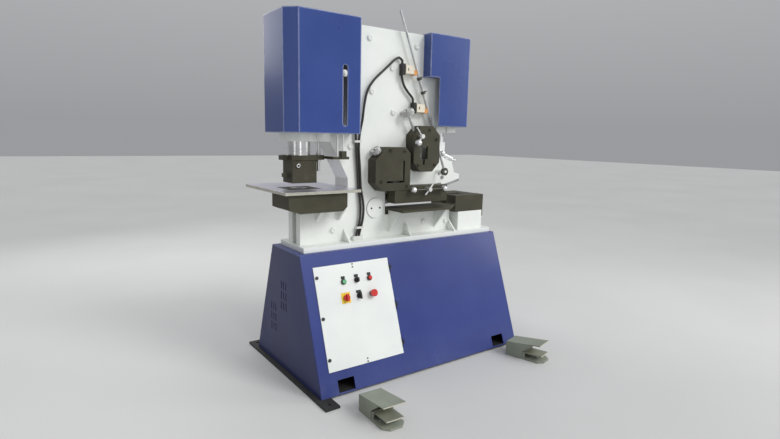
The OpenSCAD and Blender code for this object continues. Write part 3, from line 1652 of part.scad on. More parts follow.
module pedal_housing() {
    difference() {
        union() {
            linear_extrude(sole_t) polygon([
                [0, 0], [0, sole_cut - pedal_len], [sole_cut, -pedal_len], [pedal_w - sole_cut, -pedal_len],
                [pedal_w, sole_cut - pedal_len], [pedal_w, 0]]);
            for (x = [0, pedal_w - hood_t]) yz_slab(x, x + hood_t) polygon([
                [0, 0], [-hood_side, 0], [-hood_side, hood_lip], [-hood_reach, hood_mid(hood_reach)],
                [0, hood_mid(0)]]);
            yz_slab(0, pedal_w) polygon([
                [0, hood_back - hood_t], [0, hood_back], [-hood_front, hood_h],
                [-hood_front, hood_h - hood_t]]);
            block(0, pedal_w, -hood_t, 0, 0, hood_mid(0));
            block(switch_box_in, pedal_w - switch_box_in, -hood_t - switch_box_l, 0, 0, switch_box_h);
            for (x = [hood_t, pedal_w - hood_t - treadle_in + side_clear]) block(x - over,
                  x + treadle_in - side_clear + over,
                treadle_y - treadle_hub_r, treadle_y + treadle_hub_r, 0, treadle_z + treadle_hub_r);
        }
        x_rod(treadle_y, treadle_z, treadle_pin_r + fit, -over, pedal_w + over);
    }
}

module foot_switch_housings() {
    color([0.5, 0.53, 0.47]) for (place = pedal_places) at_pedal(place) pedal_housing();
}

module treadle() {
    x0 = hood_t + treadle_in;
    union() {
        x_rod(treadle_y, treadle_z, treadle_pin_r, hood_t, pedal_w - hood_t);
        x_rod(treadle_y, treadle_z, treadle_hub_r, x0 + side_clear, pedal_w - x0 - side_clear);
        yz_slab(x0 + side_clear, pedal_w - x0 - side_clear) polygon([
            [treadle_y, treadle_z], [treadle_y, treadle_z + treadle_t],
            [treadle_y - treadle_l, treadle_z + treadle_t + treadle_lift], [treadle_y - treadle_l,
                  treadle_z + treadle_lift]]);
    }
}

module left_pedal() {
    color([0.42, 0.43, 0.38]) at_pedal(pedal_places[0]) treadle();
}

module right_pedal() {
    color([0.42, 0.43, 0.38]) at_pedal(pedal_places[1]) treadle();
}

sub_base();
base_front_panel();
base_rear_panel();
base_left_end();
base_right_end();
base_top_plate();
oil_tank();
electric_motor();
hydraulic_unit();
electrical_panel();
bed_plate();
front_frame_plate();
rear_frame_plate();
frame_spacers();
tie_bolts();
frame_gussets();
punch_cylinder();
punch_table();
die_bolster();
punch_die();
left_cover();
right_cover();
shear_cylinder();
angle_shear_housing();
bar_shear_housing();
flat_shear_clamp();
flat_lower_blade();
shear_table();
notcher_box();
notcher_die();
limit_switches();
switch_cables();
cable_clips();
pivot_pin();
foot_switch_housings();
control_door();
door_fittings();
start_button();
stop_button();
mode_selector();
jog_selector();
isolator_handle();
emergency_stop();
punch_ram();
ram_cross_plate();
guide_rods();
punch_holder();
punch_tool();
stroke_stop_knob();
shear_beam();
shear_blades();
stripper_tube();
shear_rod();
stroke_rod();
angle_clamp_knob();
bar_clamp_knob();
bar_clamp_lever();
clamp_handle();
left_pedal();
right_pedal();
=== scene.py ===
"""Looks of the ironworker: procedural finishes, small trim, light and camera."""

import json
import math

import bpy
from mathutils import Matrix, Vector


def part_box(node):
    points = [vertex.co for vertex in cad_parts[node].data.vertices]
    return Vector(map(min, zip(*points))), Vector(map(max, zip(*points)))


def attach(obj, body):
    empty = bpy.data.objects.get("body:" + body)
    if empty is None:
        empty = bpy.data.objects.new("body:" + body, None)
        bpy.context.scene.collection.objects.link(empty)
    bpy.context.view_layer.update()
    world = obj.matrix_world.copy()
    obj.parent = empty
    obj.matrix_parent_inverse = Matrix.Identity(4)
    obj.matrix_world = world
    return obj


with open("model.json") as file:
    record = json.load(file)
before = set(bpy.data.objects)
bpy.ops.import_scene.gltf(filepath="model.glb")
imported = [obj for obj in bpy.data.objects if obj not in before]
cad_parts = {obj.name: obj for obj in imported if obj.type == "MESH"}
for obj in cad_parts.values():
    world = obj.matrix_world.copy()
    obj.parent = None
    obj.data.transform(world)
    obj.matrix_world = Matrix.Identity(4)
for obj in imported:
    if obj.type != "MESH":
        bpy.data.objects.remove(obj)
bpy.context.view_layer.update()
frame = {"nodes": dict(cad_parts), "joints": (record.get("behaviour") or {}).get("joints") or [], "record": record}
nodes = frame["nodes"]
joint_of = {joint["child"]: joint for joint in frame["joints"]}

# Photo camera, fitted to the cabinet and cover edges: metres and degrees
CAMERA_AT = (-1.85243, -2.55977, 1.30579)
CAMERA_YAW = 35.61
CAMERA_PITCH = 8.91
CAMERA_ROLL = 1.15
LENS_MM = 24.08
SENSOR_MM = 36

# Small lengths by which faces are told apart: metres
EDGE = 0.002
NEAR = 0.0005

# Noise values between which tone patches, scuffs, dust, edge wear and painted edge highlights, and roughness
# change
TONE_SPAN = (0.36, 0.64)
SCUFF_SPAN = (0.60, 0.72)
DUST_SPAN = (0.3, 0.7)
DUST_LEAST = 0.3
EDGE_WEAR_AND_HIGHLIGHT_SPAN = (0.42, 0.6)
ROUGH_SPAN = (0.3, 0.7)

# Cosine between a face and its softened normal, where an edge starts to take its edge colour and where it has it
# fully. That colour is wear on most finishes and a painted highlight on the covers
EDGE_TURN = (0.995, 0.93)
COAT_ROUGH = 0.12
BUMP_DEEP = 0.002
SOFT_SAMPLES = 4

# Noise settings of the scuff marks and of the fine grain
MARK_DETAIL, MARK_ROUGH = 9.0, 0.7
GRAIN_DETAIL = 3.0


def link(tree, a, b):
    tree.links.new(a, b)


def add(tree, kind, **values):
    """A shader node with its constant sockets set."""
    n = tree.nodes.new(kind)
    for key, value in values.items():
        n.inputs[key].default_value = value
    return n


def noise(tree, coords, scale, detail=5.0, rough=0.55, stretch=(1, 1, 1)):
    mapping = add(tree, "ShaderNodeMapping", Scale=stretch)
    link(tree, coords, mapping.inputs["Vector"])
    n = add(tree, "ShaderNodeTexNoise", Scale=scale, Detail=detail, Roughness=rough)
    link(tree, mapping.outputs["Vector"], n.inputs["Vector"])
    return n.outputs["Fac"]


def band(tree, value, span, to=(0.0, 1.0)):
    """value from the span's ends mapped to the ends of to, and held there beyond them."""
    n = add(tree, "ShaderNodeMapRange")
    n.clamp = True
    for key, v in zip(("From Min", "From Max", "To Min", "To Max"), (*span, *to)):
        n.inputs[key].default_value = v
    link(tree, value, n.inputs["Value"])
    return n.outputs["Result"]


def times(tree, a, b):
    n = tree.nodes.new("ShaderNodeMath")
    n.operation = "MULTIPLY"
    link(tree, a, n.inputs[0])
    link(tree, b, n.inputs[1])
    return n.outputs[0]


def mix(tree, factor, a, b):
    """Colour a turning into colour b. Either may be a socket or a plain colour."""
    n = tree.nodes.new("ShaderNodeMix")
    n.data_type = "RGBA"
    link(tree, factor, n.inputs[0])
    for socket, value in ((n.inputs[6], a), (n.inputs[7], b)):
        if isinstance(value, tuple):
            socket.default_value = (*value, 1)
        else:
            link(tree, value, socket)
    return n.outputs[2]


def finish(name, colour, shade, rough=(0.3, 0.45), metal=0.0, patch=3.0, grain=260.0, bump=0.08, edge=None,
           edge_amount=0.5, edge_least=0.0, scuff=None, scuff_amount=0.3, scuff_scale=14.0,
           stretch=(1, 1, 1), coat=0.0, round_mm=1.5, dust=None, shine=0.5):
    """A finish with tone patches, scuffs, dust near the floor, an edge colour for wear and for painted highlights,
    grain and soft edges.
    """
    material = bpy.data.materials.new(name)
    material.use_nodes = True
    tree = material.node_tree
    tree.nodes.clear()
    out = tree.nodes.new("ShaderNodeOutputMaterial")
    surface = add(tree, "ShaderNodeBsdfPrincipled", Metallic=metal)
    surface.inputs["Coat Weight"].default_value = coat
    surface.inputs["Coat Roughness"].default_value = COAT_ROUGH
    surface.inputs["Specular IOR Level"].default_value = shine
    link(tree, surface.outputs["BSDF"], out.inputs["Surface"])
    coords = tree.nodes.new("ShaderNodeTexCoord").outputs["Object"]

    patches = noise(tree, coords, patch, stretch=stretch)
    look = mix(tree, band(tree, patches, TONE_SPAN), shade, colour)
    marks = noise(tree, coords, scuff_scale, MARK_DETAIL, MARK_ROUGH, stretch)
    if scuff is not None:
        look = mix(tree, band(tree, marks, SCUFF_SPAN, (0.0, scuff_amount)), look, scuff)
    if dust is not None:
        dust_colour, dust_top, dust_amount = dust
        parts = tree.nodes.new("ShaderNodeSeparateXYZ")
        link(tree, coords, parts.inputs["Vector"])
        low = band(tree, parts.outputs["Z"], (0.0, dust_top), (dust_amount, 0.0))
        dusty = times(tree, low, band(tree, marks, DUST_SPAN, (DUST_LEAST, 1.0)))
        look = mix(tree, dusty, look, dust_colour)

    soft = add(tree, "ShaderNodeBevel", Radius=round_mm / 1000)
    soft.samples = SOFT_SAMPLES
    if edge is not None:
        plain = tree.nodes.new("ShaderNodeNewGeometry")
        turn = tree.nodes.new("ShaderNodeVectorMath")
        turn.operation = "DOT_PRODUCT"
        link(tree, soft.outputs["Normal"], turn.inputs[0])
        link(tree, plain.outputs["Normal"], turn.inputs[1])
        at_edge = band(tree, turn.outputs["Value"], EDGE_TURN)
        # Edge colour: wear on most finishes, a painted highlight along the folds of the covers
        edge_wear_and_highlight = times(tree, at_edge, band(tree, marks, EDGE_WEAR_AND_HIGHLIGHT_SPAN, (edge_least, edge_amount)))
        look = mix(tree, edge_wear_and_highlight, look, edge)
    link(tree, look, surface.inputs["Base Color"])
    link(tree, band(tree, patches, ROUGH_SPAN, rough), surface.inputs["Roughness"])

    raised = add(tree, "ShaderNodeBump", Strength=bump, Distance=BUMP_DEEP)
    link(tree, noise(tree, coords, grain, GRAIN_DETAIL, stretch=stretch), raised.inputs["Height"])
    link(tree, soft.outputs["Normal"], raised.inputs["Normal"])
    link(tree, raised.outputs["Normal"], surface.inputs["Normal"])
    return material


GREY_DUST = (0.30, 0.29, 0.27)
BARE_STEEL = (0.42, 0.42, 0.43)

# Colours are linear, patch, grain and scuff_scale are noise scales per metre
FINISHES = {
    "cabinet_blue": dict(colour=(0.025, 0.046, 0.225), shade=(0.021, 0.039, 0.196), rough=(0.32, 0.44),
                         patch=2.2, edge=(0.22, 0.27, 0.55), scuff=(0.042, 0.064, 0.24), scuff_amount=0.25,
                         coat=0.12, round_mm=2.5, shine=0.38, dust=(GREY_DUST, 0.22, 0.12)),
    # Darker copy of the cabinet blue for the cabinet's left end: painted shade, since that end is the same paint
    # in shade
    "painted_shade_end_blue": dict(colour=(0.017, 0.027, 0.120), shade=(0.014, 0.022, 0.100), rough=(0.36, 0.48),
                     patch=2.2, scuff=(0.030, 0.040, 0.13), scuff_amount=0.25, coat=0.08, round_mm=2.5,
                     shine=0.32),
    # The pale edge colour of the covers is a painted highlight along their folds, not wear
    "cover_blue": dict(colour=(0.029, 0.066, 0.268), shade=(0.025, 0.057, 0.240), rough=(0.26, 0.34),
                       patch=2.6, scuff=(0.040, 0.076, 0.28), scuff_amount=0.2, coat=0.15, round_mm=8.0,
                       shine=0.42, edge=(0.66, 0.70, 0.92), edge_amount=0.9, edge_least=0.6),
    "frame_white": dict(colour=(0.87, 0.89, 0.85), shade=(0.81, 0.84, 0.80), rough=(0.30, 0.46), patch=3.5,
                        edge=(0.55, 0.56, 0.54), edge_amount=0.35, scuff=(0.60, 0.60, 0.55),
                        scuff_amount=0.25, coat=0.2, round_mm=2.0),
    "door_white": dict(colour=(0.82, 0.85, 0.82), shade=(0.77, 0.80, 0.78), rough=(0.28, 0.40), patch=4.0,
                       scuff=(0.66, 0.67, 0.64), scuff_amount=0.2, coat=0.2, round_mm=1.2),
    "dark_steel": dict(colour=(0.066, 0.062, 0.040), shade=(0.048, 0.045, 0.029), rough=(0.46, 0.62),
                       patch=7.0, grain=420.0, bump=0.12, edge=(0.24, 0.23, 0.19), edge_amount=0.7,
                       scuff=(0.11, 0.10, 0.075), scuff_amount=0.35, round_mm=1.6, shine=0.25),
    "tool_steel": dict(colour=(0.46, 0.46, 0.47), shade=(0.33, 0.33, 0.34), rough=(0.24, 0.40), metal=1.0,
                       patch=9.0, grain=500.0, bump=0.06, scuff=(0.22, 0.21, 0.20), scuff_amount=0.4,
                       round_mm=1.0),
    "table_steel": dict(colour=(0.73, 0.71, 0.80), shade=(0.67, 0.65, 0.75), rough=(0.26, 0.34), metal=1.0,
                        patch=5.0, grain=160.0, bump=0.012, scuff=(0.44, 0.43, 0.48), scuff_amount=0.25,
                        scuff_scale=30.0, stretch=(1, 7, 1), round_mm=1.5),
    "bright_steel": dict(colour=(0.86, 0.86, 0.85), shade=(0.76, 0.76, 0.76), rough=(0.20, 0.30), metal=1.0,
                         patch=12.0, grain=600.0, bump=0.02, scuff=(0.55, 0.55, 0.53), scuff_amount=0.3,
                         round_mm=1.0),
    "satin_steel": dict(colour=(0.84, 0.84, 0.83), shade=(0.74, 0.74, 0.74), rough=(0.36, 0.46), metal=1.0,
                        patch=14.0, grain=600.0, bump=0.02, scuff=(0.52, 0.52, 0.50), scuff_amount=0.3,
                        round_mm=1.0),
    "knob_steel": dict(colour=(0.58, 0.58, 0.57), shade=(0.44, 0.44, 0.44), rough=(0.28, 0.40), metal=1.0,
                       patch=24.0, grain=600.0, bump=0.04, scuff=(0.30, 0.30, 0.29), scuff_amount=0.4,
                       round_mm=1.0),
    "rod_steel": dict(colour=(0.60, 0.60, 0.60), shade=(0.45, 0.45, 0.46), rough=(0.24, 0.38), metal=1.0,
                      patch=14.0, grain=500.0, bump=0.05, scuff=(0.28, 0.26, 0.23), scuff_amount=0.5,
                      round_mm=0.8),
    "black_steel": dict(colour=(0.035, 0.035, 0.036), shade=(0.022, 0.022, 0.023), rough=(0.32, 0.48),
                        metal=0.6, patch=40.0, edge=BARE_STEEL, round_mm=0.8),
    "dark_bar": dict(colour=(0.10, 0.097, 0.085), shade=(0.07, 0.068, 0.06), rough=(0.34, 0.48), metal=0.8,
                     patch=30.0, round_mm=0.8),
    "table_edge": dict(colour=(0.56, 0.54, 0.46), shade=(0.46, 0.45, 0.39), rough=(0.36, 0.5), metal=0.5,
                       patch=16.0, scuff=(0.30, 0.29, 0.25), round_mm=1.2),
    "rail_black": dict(colour=(0.034, 0.033, 0.032), shade=(0.026, 0.026, 0.025), rough=(0.48, 0.62),
                       patch=6.0, scuff=(0.075, 0.073, 0.068), scuff_amount=0.35, round_mm=2.0, shine=0.25),
    "tank_grey": dict(colour=(0.10, 0.12, 0.15), shade=(0.07, 0.085, 0.11), rough=(0.38, 0.55),
                      scuff=(0.2, 0.2, 0.2)),
    "panel_grey": dict(colour=(0.50, 0.50, 0.47), shade=(0.42, 0.42, 0.40), rough=(0.35, 0.5), metal=0.6,
                       patch=20.0),
    "switch_cream": dict(colour=(0.80, 0.74, 0.60), shade=(0.72, 0.66, 0.54), rough=(0.40, 0.52),
                         patch=20.0, scuff=(0.55, 0.50, 0.40), round_mm=1.5),
    "roller_orange": dict(colour=(0.74, 0.33, 0.085), shade=(0.62, 0.26, 0.06), rough=(0.34, 0.46),
                          patch=30.0, round_mm=1.0),
    "cable_black": dict(colour=(0.030, 0.030, 0.027), shade=(0.018, 0.018, 0.017), rough=(0.45, 0.62),
                        patch=30.0, grain=800.0, bump=0.05, scuff=(0.09, 0.09, 0.08), round_mm=0.5),
    "clip_white": dict(colour=(0.74, 0.75, 0.72), shade=(0.66, 0.67, 0.64), rough=(0.4, 0.5), patch=30.0,
                       round_mm=0.6),
    "control_black": dict(colour=(0.022, 0.022, 0.024), shade=(0.014, 0.014, 0.015), rough=(0.30, 0.42),
                          patch=40.0, scuff=(0.08, 0.08, 0.08), round_mm=0.8),
    "control_green": dict(colour=(0.16, 0.48, 0.24), shade=(0.12, 0.40, 0.19), rough=(0.22, 0.34),
                          patch=40.0, coat=0.3, round_mm=1.0),
    "control_red": dict(colour=(0.66, 0.035, 0.030), shade=(0.55, 0.027, 0.024), rough=(0.22, 0.34),
                        patch=40.0, coat=0.3, round_mm=1.5),
    "plate_yellow": dict(colour=(0.90, 0.62, 0.045), shade=(0.82, 0.56, 0.04), rough=(0.30, 0.42),
                         patch=30.0, round_mm=0.8),
    "knob_white": dict(colour=(0.78, 0.79, 0.77), shade=(0.70, 0.71, 0.69), rough=(0.25, 0.36), patch=40.0,
                       round_mm=1.5),
    "pedal_grey": dict(colour=(0.280, 0.308, 0.240), shade=(0.220, 0.245, 0.190), rough=(0.40, 0.58),
                       patch=8.0, grain=340.0, bump=0.22, edge=(0.40, 0.41, 0.38), scuff=(0.36, 0.36, 0.32),
                       scuff_amount=0.35, round_mm=2.5, dust=(GREY_DUST, 0.05, 0.3)),
    "treadle_grey": dict(colour=(0.270, 0.285, 0.220), shade=(0.205, 0.215, 0.165), rough=(0.40, 0.55),
                         patch=10.0, grain=380.0, bump=0.2, edge=BARE_STEEL, edge_amount=0.8,
                         scuff=(0.34, 0.33, 0.30), scuff_amount=0.5, round_mm=1.5),
    "hood_cream": dict(colour=(0.60, 0.58, 0.47), shade=(0.52, 0.50, 0.41), rough=(0.45, 0.6), patch=14.0,
                       bump=0.12, scuff=(0.40, 0.39, 0.32), round_mm=1.0),
    "floor": dict(colour=(0.62, 0.62, 0.61), shade=(0.59, 0.59, 0.58), rough=(0.5, 0.65), patch=0.6,
                  grain=120.0, bump=0.03),
}
looks = {name: finish(name, **settings) for name, settings in FINISHES.items()}

# Nodes whose finish isn't the one of their slot
OTHER_FINISH = {
    "satin_steel": ("bar_clamp_lever", "clamp_handle", "shear_rod", "guide_rods", "stripper_tube"),
    "knob_steel": ("angle_clamp_knob", "bar_clamp_knob"),
    "dark_steel": ("flat_lower_blade",),
    "rail_black": ("sub_base",),
    # The cabinet's left end takes the darker copy of the cabinet blue as painted shade
    "painted_shade_end_blue": ("base_left_end",),
}
finish_of = {s["node"]: s["material_slot"] for s in frame["record"]["subparts"]}
for look_name, members in OTHER_FINISH.items():
    finish_of.update({member: look_name for member in members})
for name, node in nodes.items():
    node.data.materials.clear()
    node.data.materials.append(looks[finish_of[name]])


def paint_faces(name, look_name, chosen):
    """Gives a second finish to the faces of a CAD node that chosen(centre) picks."""
    mesh = nodes[name].data
    mesh.materials.append(looks[look_name])
    index = len(mesh.materials) - 1
    for face in mesh.polygons:
        if chosen(face.center):
            face.material_index = index


# Two limit switches: black plugs on their left, orange rollers on their right
SWITCH_SPLIT_Z = 1.58
SWITCH_LONG = 0.058
UPPER_SWITCH_X, LOWER_SWITCH_X = -0.0113, 0.0747


def along_switch(c):
    """How far a point lies to the right of the left side of its switch."""
    return c.x - (UPPER_SWITCH_X if c.z > SWITCH_SPLIT_Z else LOWER_SWITCH_X)


paint_faces("limit_switches", "cable_black", lambda c: along_switch(c) < -EDGE)
paint_faces("limit_switches", "roller_orange", lambda c: along_switch(c) > SWITCH_LONG + EDGE)

# Two dark dots on the disc of the pivot pin
DOT_HIGH = 0.003
dot_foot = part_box("pivot_pin")[0].y + DOT_HIGH
paint_faces("pivot_pin", "black_steel", lambda c: c.y < dot_foot - NEAR)

# Pale edge of the punch table
table_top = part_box("punch_table")[1].z
paint_faces("punch_table", "table_edge", lambda c: c.z < table_top - EDGE)

# Dark arm and clamp that carry the trip rods beside the punch
CLAMP_TOP = 1.2295
arm_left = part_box("ram_cross_plate")[1].x
paint_faces("guide_rods", "dark_steel", lambda c: c.x > arm_left - EDGE and c.z < CLAMP_TOP + EDGE)

# Dark eye, collars and thumb screws of the stroke rod
STROKE_EYE = Vector((0.3195, 1.1034))
STROKE_EYE_LONG, STROKE_SLEEVE_R = 0.045, 0.0098
stroke_down = Vector(joint_of["stroke_rod"]["axis"])
stroke_up = -Vector((stroke_down.x, stroke_down.z))
stroke_y = sum(v.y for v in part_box("stroke_rod")) / 2


def on_stroke_trim(c):
    """Whether a point is on the eye or stands out of the sleeve."""
    off = Vector((c.x, c.z)) - STROKE_EYE
    along = off.dot(stroke_up)
    aside = math.hypot((off - stroke_up * along).length, c.y - stroke_y)
    return along < STROKE_EYE_LONG or aside > STROKE_SLEEVE_R


paint_faces("stroke_rod", "dark_bar", on_stroke_trim)

# Dark bar between the two balls of the flat shear's handle
HANDLE_HALF, HANDLE_OUT = 0.118, 0.020
HANDLE_BAR_R, HANDLE_BALL_R, HANDLE_HUB_R = 0.006, 0.020, 0.013
BALL_COVERS_SHARE = 0.9
handle_x, handle_y, handle_z = joint_of["clamp_handle"]["pos_m"]


def on_handle_bar(c):
    """Whether a point is on the bar, between the hub and the balls."""
    across = abs(c.x - handle_x)
    aside = math.hypot(c.y - handle_y + HANDLE_OUT, c.z - handle_z)
    bar_end = HANDLE_HALF - BALL_COVERS_SHARE * HANDLE_BALL_R
    return HANDLE_HUB_R < across < bar_end and aside < HANDLE_BAR_R + EDGE


paint_faces("clamp_handle", "dark_bar", on_handle_bar)

# Foot switches: pale inside and front edges
HOOD_WIDE, HOOD_HIGH, HOOD_BACK, HOOD_FRONT, HOOD_SHEET = 0.124, 0.111, 0.084, 0.218, 0.005
TREADLE_PIVOT, TREADLE_FRONT = 0.112, 0.224
SIDES = ("left", "right")


def hood_frame(side):
    """Turns a hood's own frame, its back left corner on the floor at the origin, into the machine's."""
    pedal = joint_of[f"{side}_pedal"]
    turn = Matrix.Rotation(math.atan2(pedal["axis"][1], pedal["axis"][0]), 4, "Z")
    pivot = Vector((HOOD_WIDE / 2, -TREADLE_PIVOT, pedal["pos_m"][2]))
    return Matrix.Translation(Vector(pedal["pos_m"]) - turn @ pivot) @ turn


hoods = {side: hood_frame(side) for side in SIDES}


def in_hood(c, side):
    return hoods[side].inverted() @ c


def hood_inside(c):
    """Whether a point is on the inner faces of a hood or on its roof's front edge."""
    x, y, z = in_hood(c, "right" if c.x > 0 else "left")
    sides = min(abs(x - HOOD_SHEET), abs(x - HOOD_WIDE + HOOD_SHEET))
    ends = min(abs(y + HOOD_SHEET), abs(y + HOOD_FRONT))
    roof = HOOD_BACK - HOOD_SHEET - (HOOD_HIGH - HOOD_BACK) * y / HOOD_FRONT
    return min(sides, ends, abs(z - roof)) < NEAR


paint_faces("foot_switch_housings", "hood_cream", hood_inside)
for side in SIDES:
    paint_faces(f"{side}_pedal", "hood_cream",
                lambda c, at=side: abs(in_hood(c, at).y + TREADLE_FRONT) < NEAR)

# Sloped front of the cabinet with the door and its controls, as in the part's source
DOOR_DOWN, DOOR_FACE, DOOR_WIDE = 0.073, 0.0045, 0.470
SLOPE_TOP_Y, SLOPE_TOP_Z = -0.168, 0.700
COLUMN_IN, COLUMN_STEP = 0.165, 0.082
ROW_DOWN, ROW_STEP = 0.096, 0.086
COLUMNS, ROWS = 3, 2
COLLAR_R = 0.015
door_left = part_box("control_door")[0].x
slope_back, slope_up = joint_of["door"]["axis"][1:]


def on_slope(x, down, out):
    """Point on the sloped front: x along the door, down the slope from its top edge, out from the sheet."""
    s = DOOR_DOWN + down
    return Vector((door_left + x, SLOPE_TOP_Y - s * slope_back - out * slope_up,
                   SLOPE_TOP_Z - s * slope_up + out * slope_back))


def from_slope(c):
    """The same place given back as x, down and out."""
    y, z = c.y - SLOPE_TOP_Y, c.z - SLOPE_TOP_Z
    return c.x - door_left, -y * slope_back - z * slope_up - DOOR_DOWN, -y * slope_up + z * slope_back


def control_at(column, row):
    return COLUMN_IN + column * COLUMN_STEP, ROW_DOWN + row * ROW_STEP


controls = [control_at(column, row) for column in range(COLUMNS) for row in range(ROWS)]


def on_collar(c):
    """Whether a point is on the collar of a control."""
    x, down, out = from_slope(c)
    near = min(math.hypot(x - at[0], down - at[1]) for at in controls)
    return near < COLLAR_R + EDGE and out > DOOR_FACE + NEAR


# Black collars of the controls and dark hinge knuckles, which are part of the door
paint_faces("control_door", "control_black", on_collar)
paint_faces("control_door", "black_steel", lambda c: from_slope(c)[0] > DOOR_WIDE + NEAR)


def piece(name, verts, faces, look_name, body):
    mesh = bpy.data.meshes.new(name)
    mesh.from_pydata([tuple(v) for v in verts], [], faces)
    mesh.update()
    made = bpy.data.objects.new(name, mesh)
    bpy.context.scene.collection.objects.link(made)
    made.data.materials.append(looks[look_name])
    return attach(made, body)


def ring_faces(rows, count, closed=False):
    """Faces between rings of count vertices that follow each other."""
    last = rows if closed else rows - 1
    return [(r * count + i, r * count + (i + 1) % count, (r + 1) % rows * count + (i + 1) % count,
             (r + 1) % rows * count + i) for r in range(last) for i in range(count)]


# Thin plates: steps of a round corner, and the soft edge as a share of the thickness
CORNER_STEPS = 5
PLATE_SOFT_SHARE = 0.35


def plate(name, place, half_wide, half_high, corner, thick, look_name, body):
    """Thin plate with round corners and a soft front edge. place(across, along, out) gives its points."""
    soft = PLATE_SOFT_SHARE * thick

    def outline(inset, out):
        points = []
        for quarter, (i, j) in enumerate(((1, 1), (-1, 1), (-1, -1), (1, -1))):
            for k in range(CORNER_STEPS + 1):
                a = math.radians(90 * (quarter + k / CORNER_STEPS))
                r = corner - inset
                points.append(place(i * (half_wide - corner) + r * math.cos(a),
                                    j * (half_high - corner) + r * math.sin(a), out))
        return points

    rows = [outline(0, 0), outline(0, thick - soft), outline(soft, thick)]
    count = len(rows[0])
    faces = ring_faces(len(rows), count)
    faces.append(tuple(range((len(rows) - 1) * count, len(rows) * count)))
    return piece(name, [v for row in rows for v in row], faces, look_name, body)


def door_plate(name, at, half_wide, half_high, corner, thick, look_name):
    plate(name, lambda across, down, out: on_slope(at[0] + across, at[1] + down, DOOR_FACE + out),
          half_wide, half_high, corner, thick, look_name, "door")


# Yellow plate of the isolator: half width, half height, corner and thickness
ISOLATOR_PLATE = (0.0275, 0.0285, 0.004, 0.0012)
door_plate("isolator_plate", control_at(0, 1), *ISOLATOR_PLATE, "plate_yellow")

# Blank plates over the controls, by column and row
LEGEND_HALF = {(0, 0): 0.0115, (1, 0): 0.0125, (2, 0): 0.0115, (1, 1): 0.0155}
LEGEND_UP, LEGEND_HALF_HIGH, LEGEND_CORNER, LEGEND_THICK = 0.0225, 0.0075, 0.002, 0.0025
for (column, row), half in LEGEND_HALF.items():
    x, down = control_at(column, row)
    door_plate(f"legend_plate_{column}_{row}", (x, down - LEGEND_UP), half, LEGEND_HALF_HIGH, LEGEND_CORNER,
               LEGEND_THICK, "control_black")

# Small dark window of a limit switch: half width, half height, corner and thickness
SWITCH_MARK = (0.003, 0.008, 0.0015, 0.0008)
SWITCH_MARK_SHARE = 0.3


def switch_mark(name, left, upper):
    spots = [v.co for v in nodes["limit_switches"].data.vertices
             if (v.co.z > SWITCH_SPLIT_Z) == upper and abs(v.co.x - left) < EDGE]
    face = min(v.y for v in spots)
    x = left + SWITCH_MARK_SHARE * SWITCH_LONG
    z = (min(v.z for v in spots) + max(v.z for v in spots)) / 2
    plate(name, lambda across, along, out: (x + across, face - out, z + along), *SWITCH_MARK,
          "control_black", "machine")


switch_mark("upper_switch_mark", UPPER_SWITCH_X, True)
switch_mark("lower_switch_mark", LOWER_SWITCH_X, False)

# Screw heads: corners of a ring, the first ring of the hole, and shares of the radius and the height
SCREW_SIDES, HOLE_RING = 24, 3
RIM_SHARE, HOLE_SHARE, HOLE_FLOOR_SHARE = 0.1, 0.55, 0.4


def cap_screw(name, place, radius, height, body, look_name, inside="black_steel"):
    """Socket head screw with a soft rim and a hexagon hole. place(across, along, out) gives its points."""
    turns = [2 * math.pi * i / SCREW_SIDES for i in range(SCREW_SIDES)]
    half_flat = math.pi / 6

    def ring(r, out, hexagon=False):
        points = []
        for a in turns:
            reach = r * math.cos(half_flat) / math.cos(a % (2 * half_flat) - half_flat) if hexagon else r
            points.append(place(reach * math.cos(a), reach * math.sin(a), out))
        return points

    rim, hole = RIM_SHARE * radius, HOLE_SHARE * radius
    rows = [ring(radius, 0), ring(radius, height - rim), ring(radius - rim, height),
            ring(hole, height, True), ring(hole, HOLE_FLOOR_SHARE * height, True)]
    faces = ring_faces(len(rows), SCREW_SIDES)
    faces.append(tuple(range((len(rows) - 1) * SCREW_SIDES, len(rows) * SCREW_SIDES)))
    made = piece(name, [v for row in rows for v in row], faces, look_name, body)
    made.data.materials.append(looks[inside])
    for face in made.data.polygons[HOLE_RING * SCREW_SIDES:]:
        face.material_index = 1
    return made


def on_front(x, y, z):
    """Places round a point on a face that looks to the front."""
    return lambda across, along, out: (x + across, y - out, z + along)


def on_sole(side, x, y, z):
    """Places round a point on the sole of a foot switch, given in the hood's own frame."""
    return lambda across, along, out: hoods[side] @ Vector((x + across, y + along, z + out))


# Screws in the front faces of the shear housings: x and z of each
HOUSING_SCREWS = {
    "angle": [(-0.19, 1.06), (-0.01, 1.03), (-0.03, 1.232), (-0.13, 1.235)],
    "bar": [(0.070, 1.150), (0.195, 1.150), (0.205, 1.300), (0.150, 1.355)],
}
HOUSING_SCREW_R, HOUSING_SCREW_HIGH = 0.0085, 0.007
for housing, places in HOUSING_SCREWS.items():
    face_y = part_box(f"{housing}_shear_housing")[0].y
    for i, (x, z) in enumerate(places):
        cap_screw(f"{housing}_screw_{i}", on_front(x, face_y, z), HOUSING_SCREW_R, HOUSING_SCREW_HIGH,
                  "machine", "dark_steel")

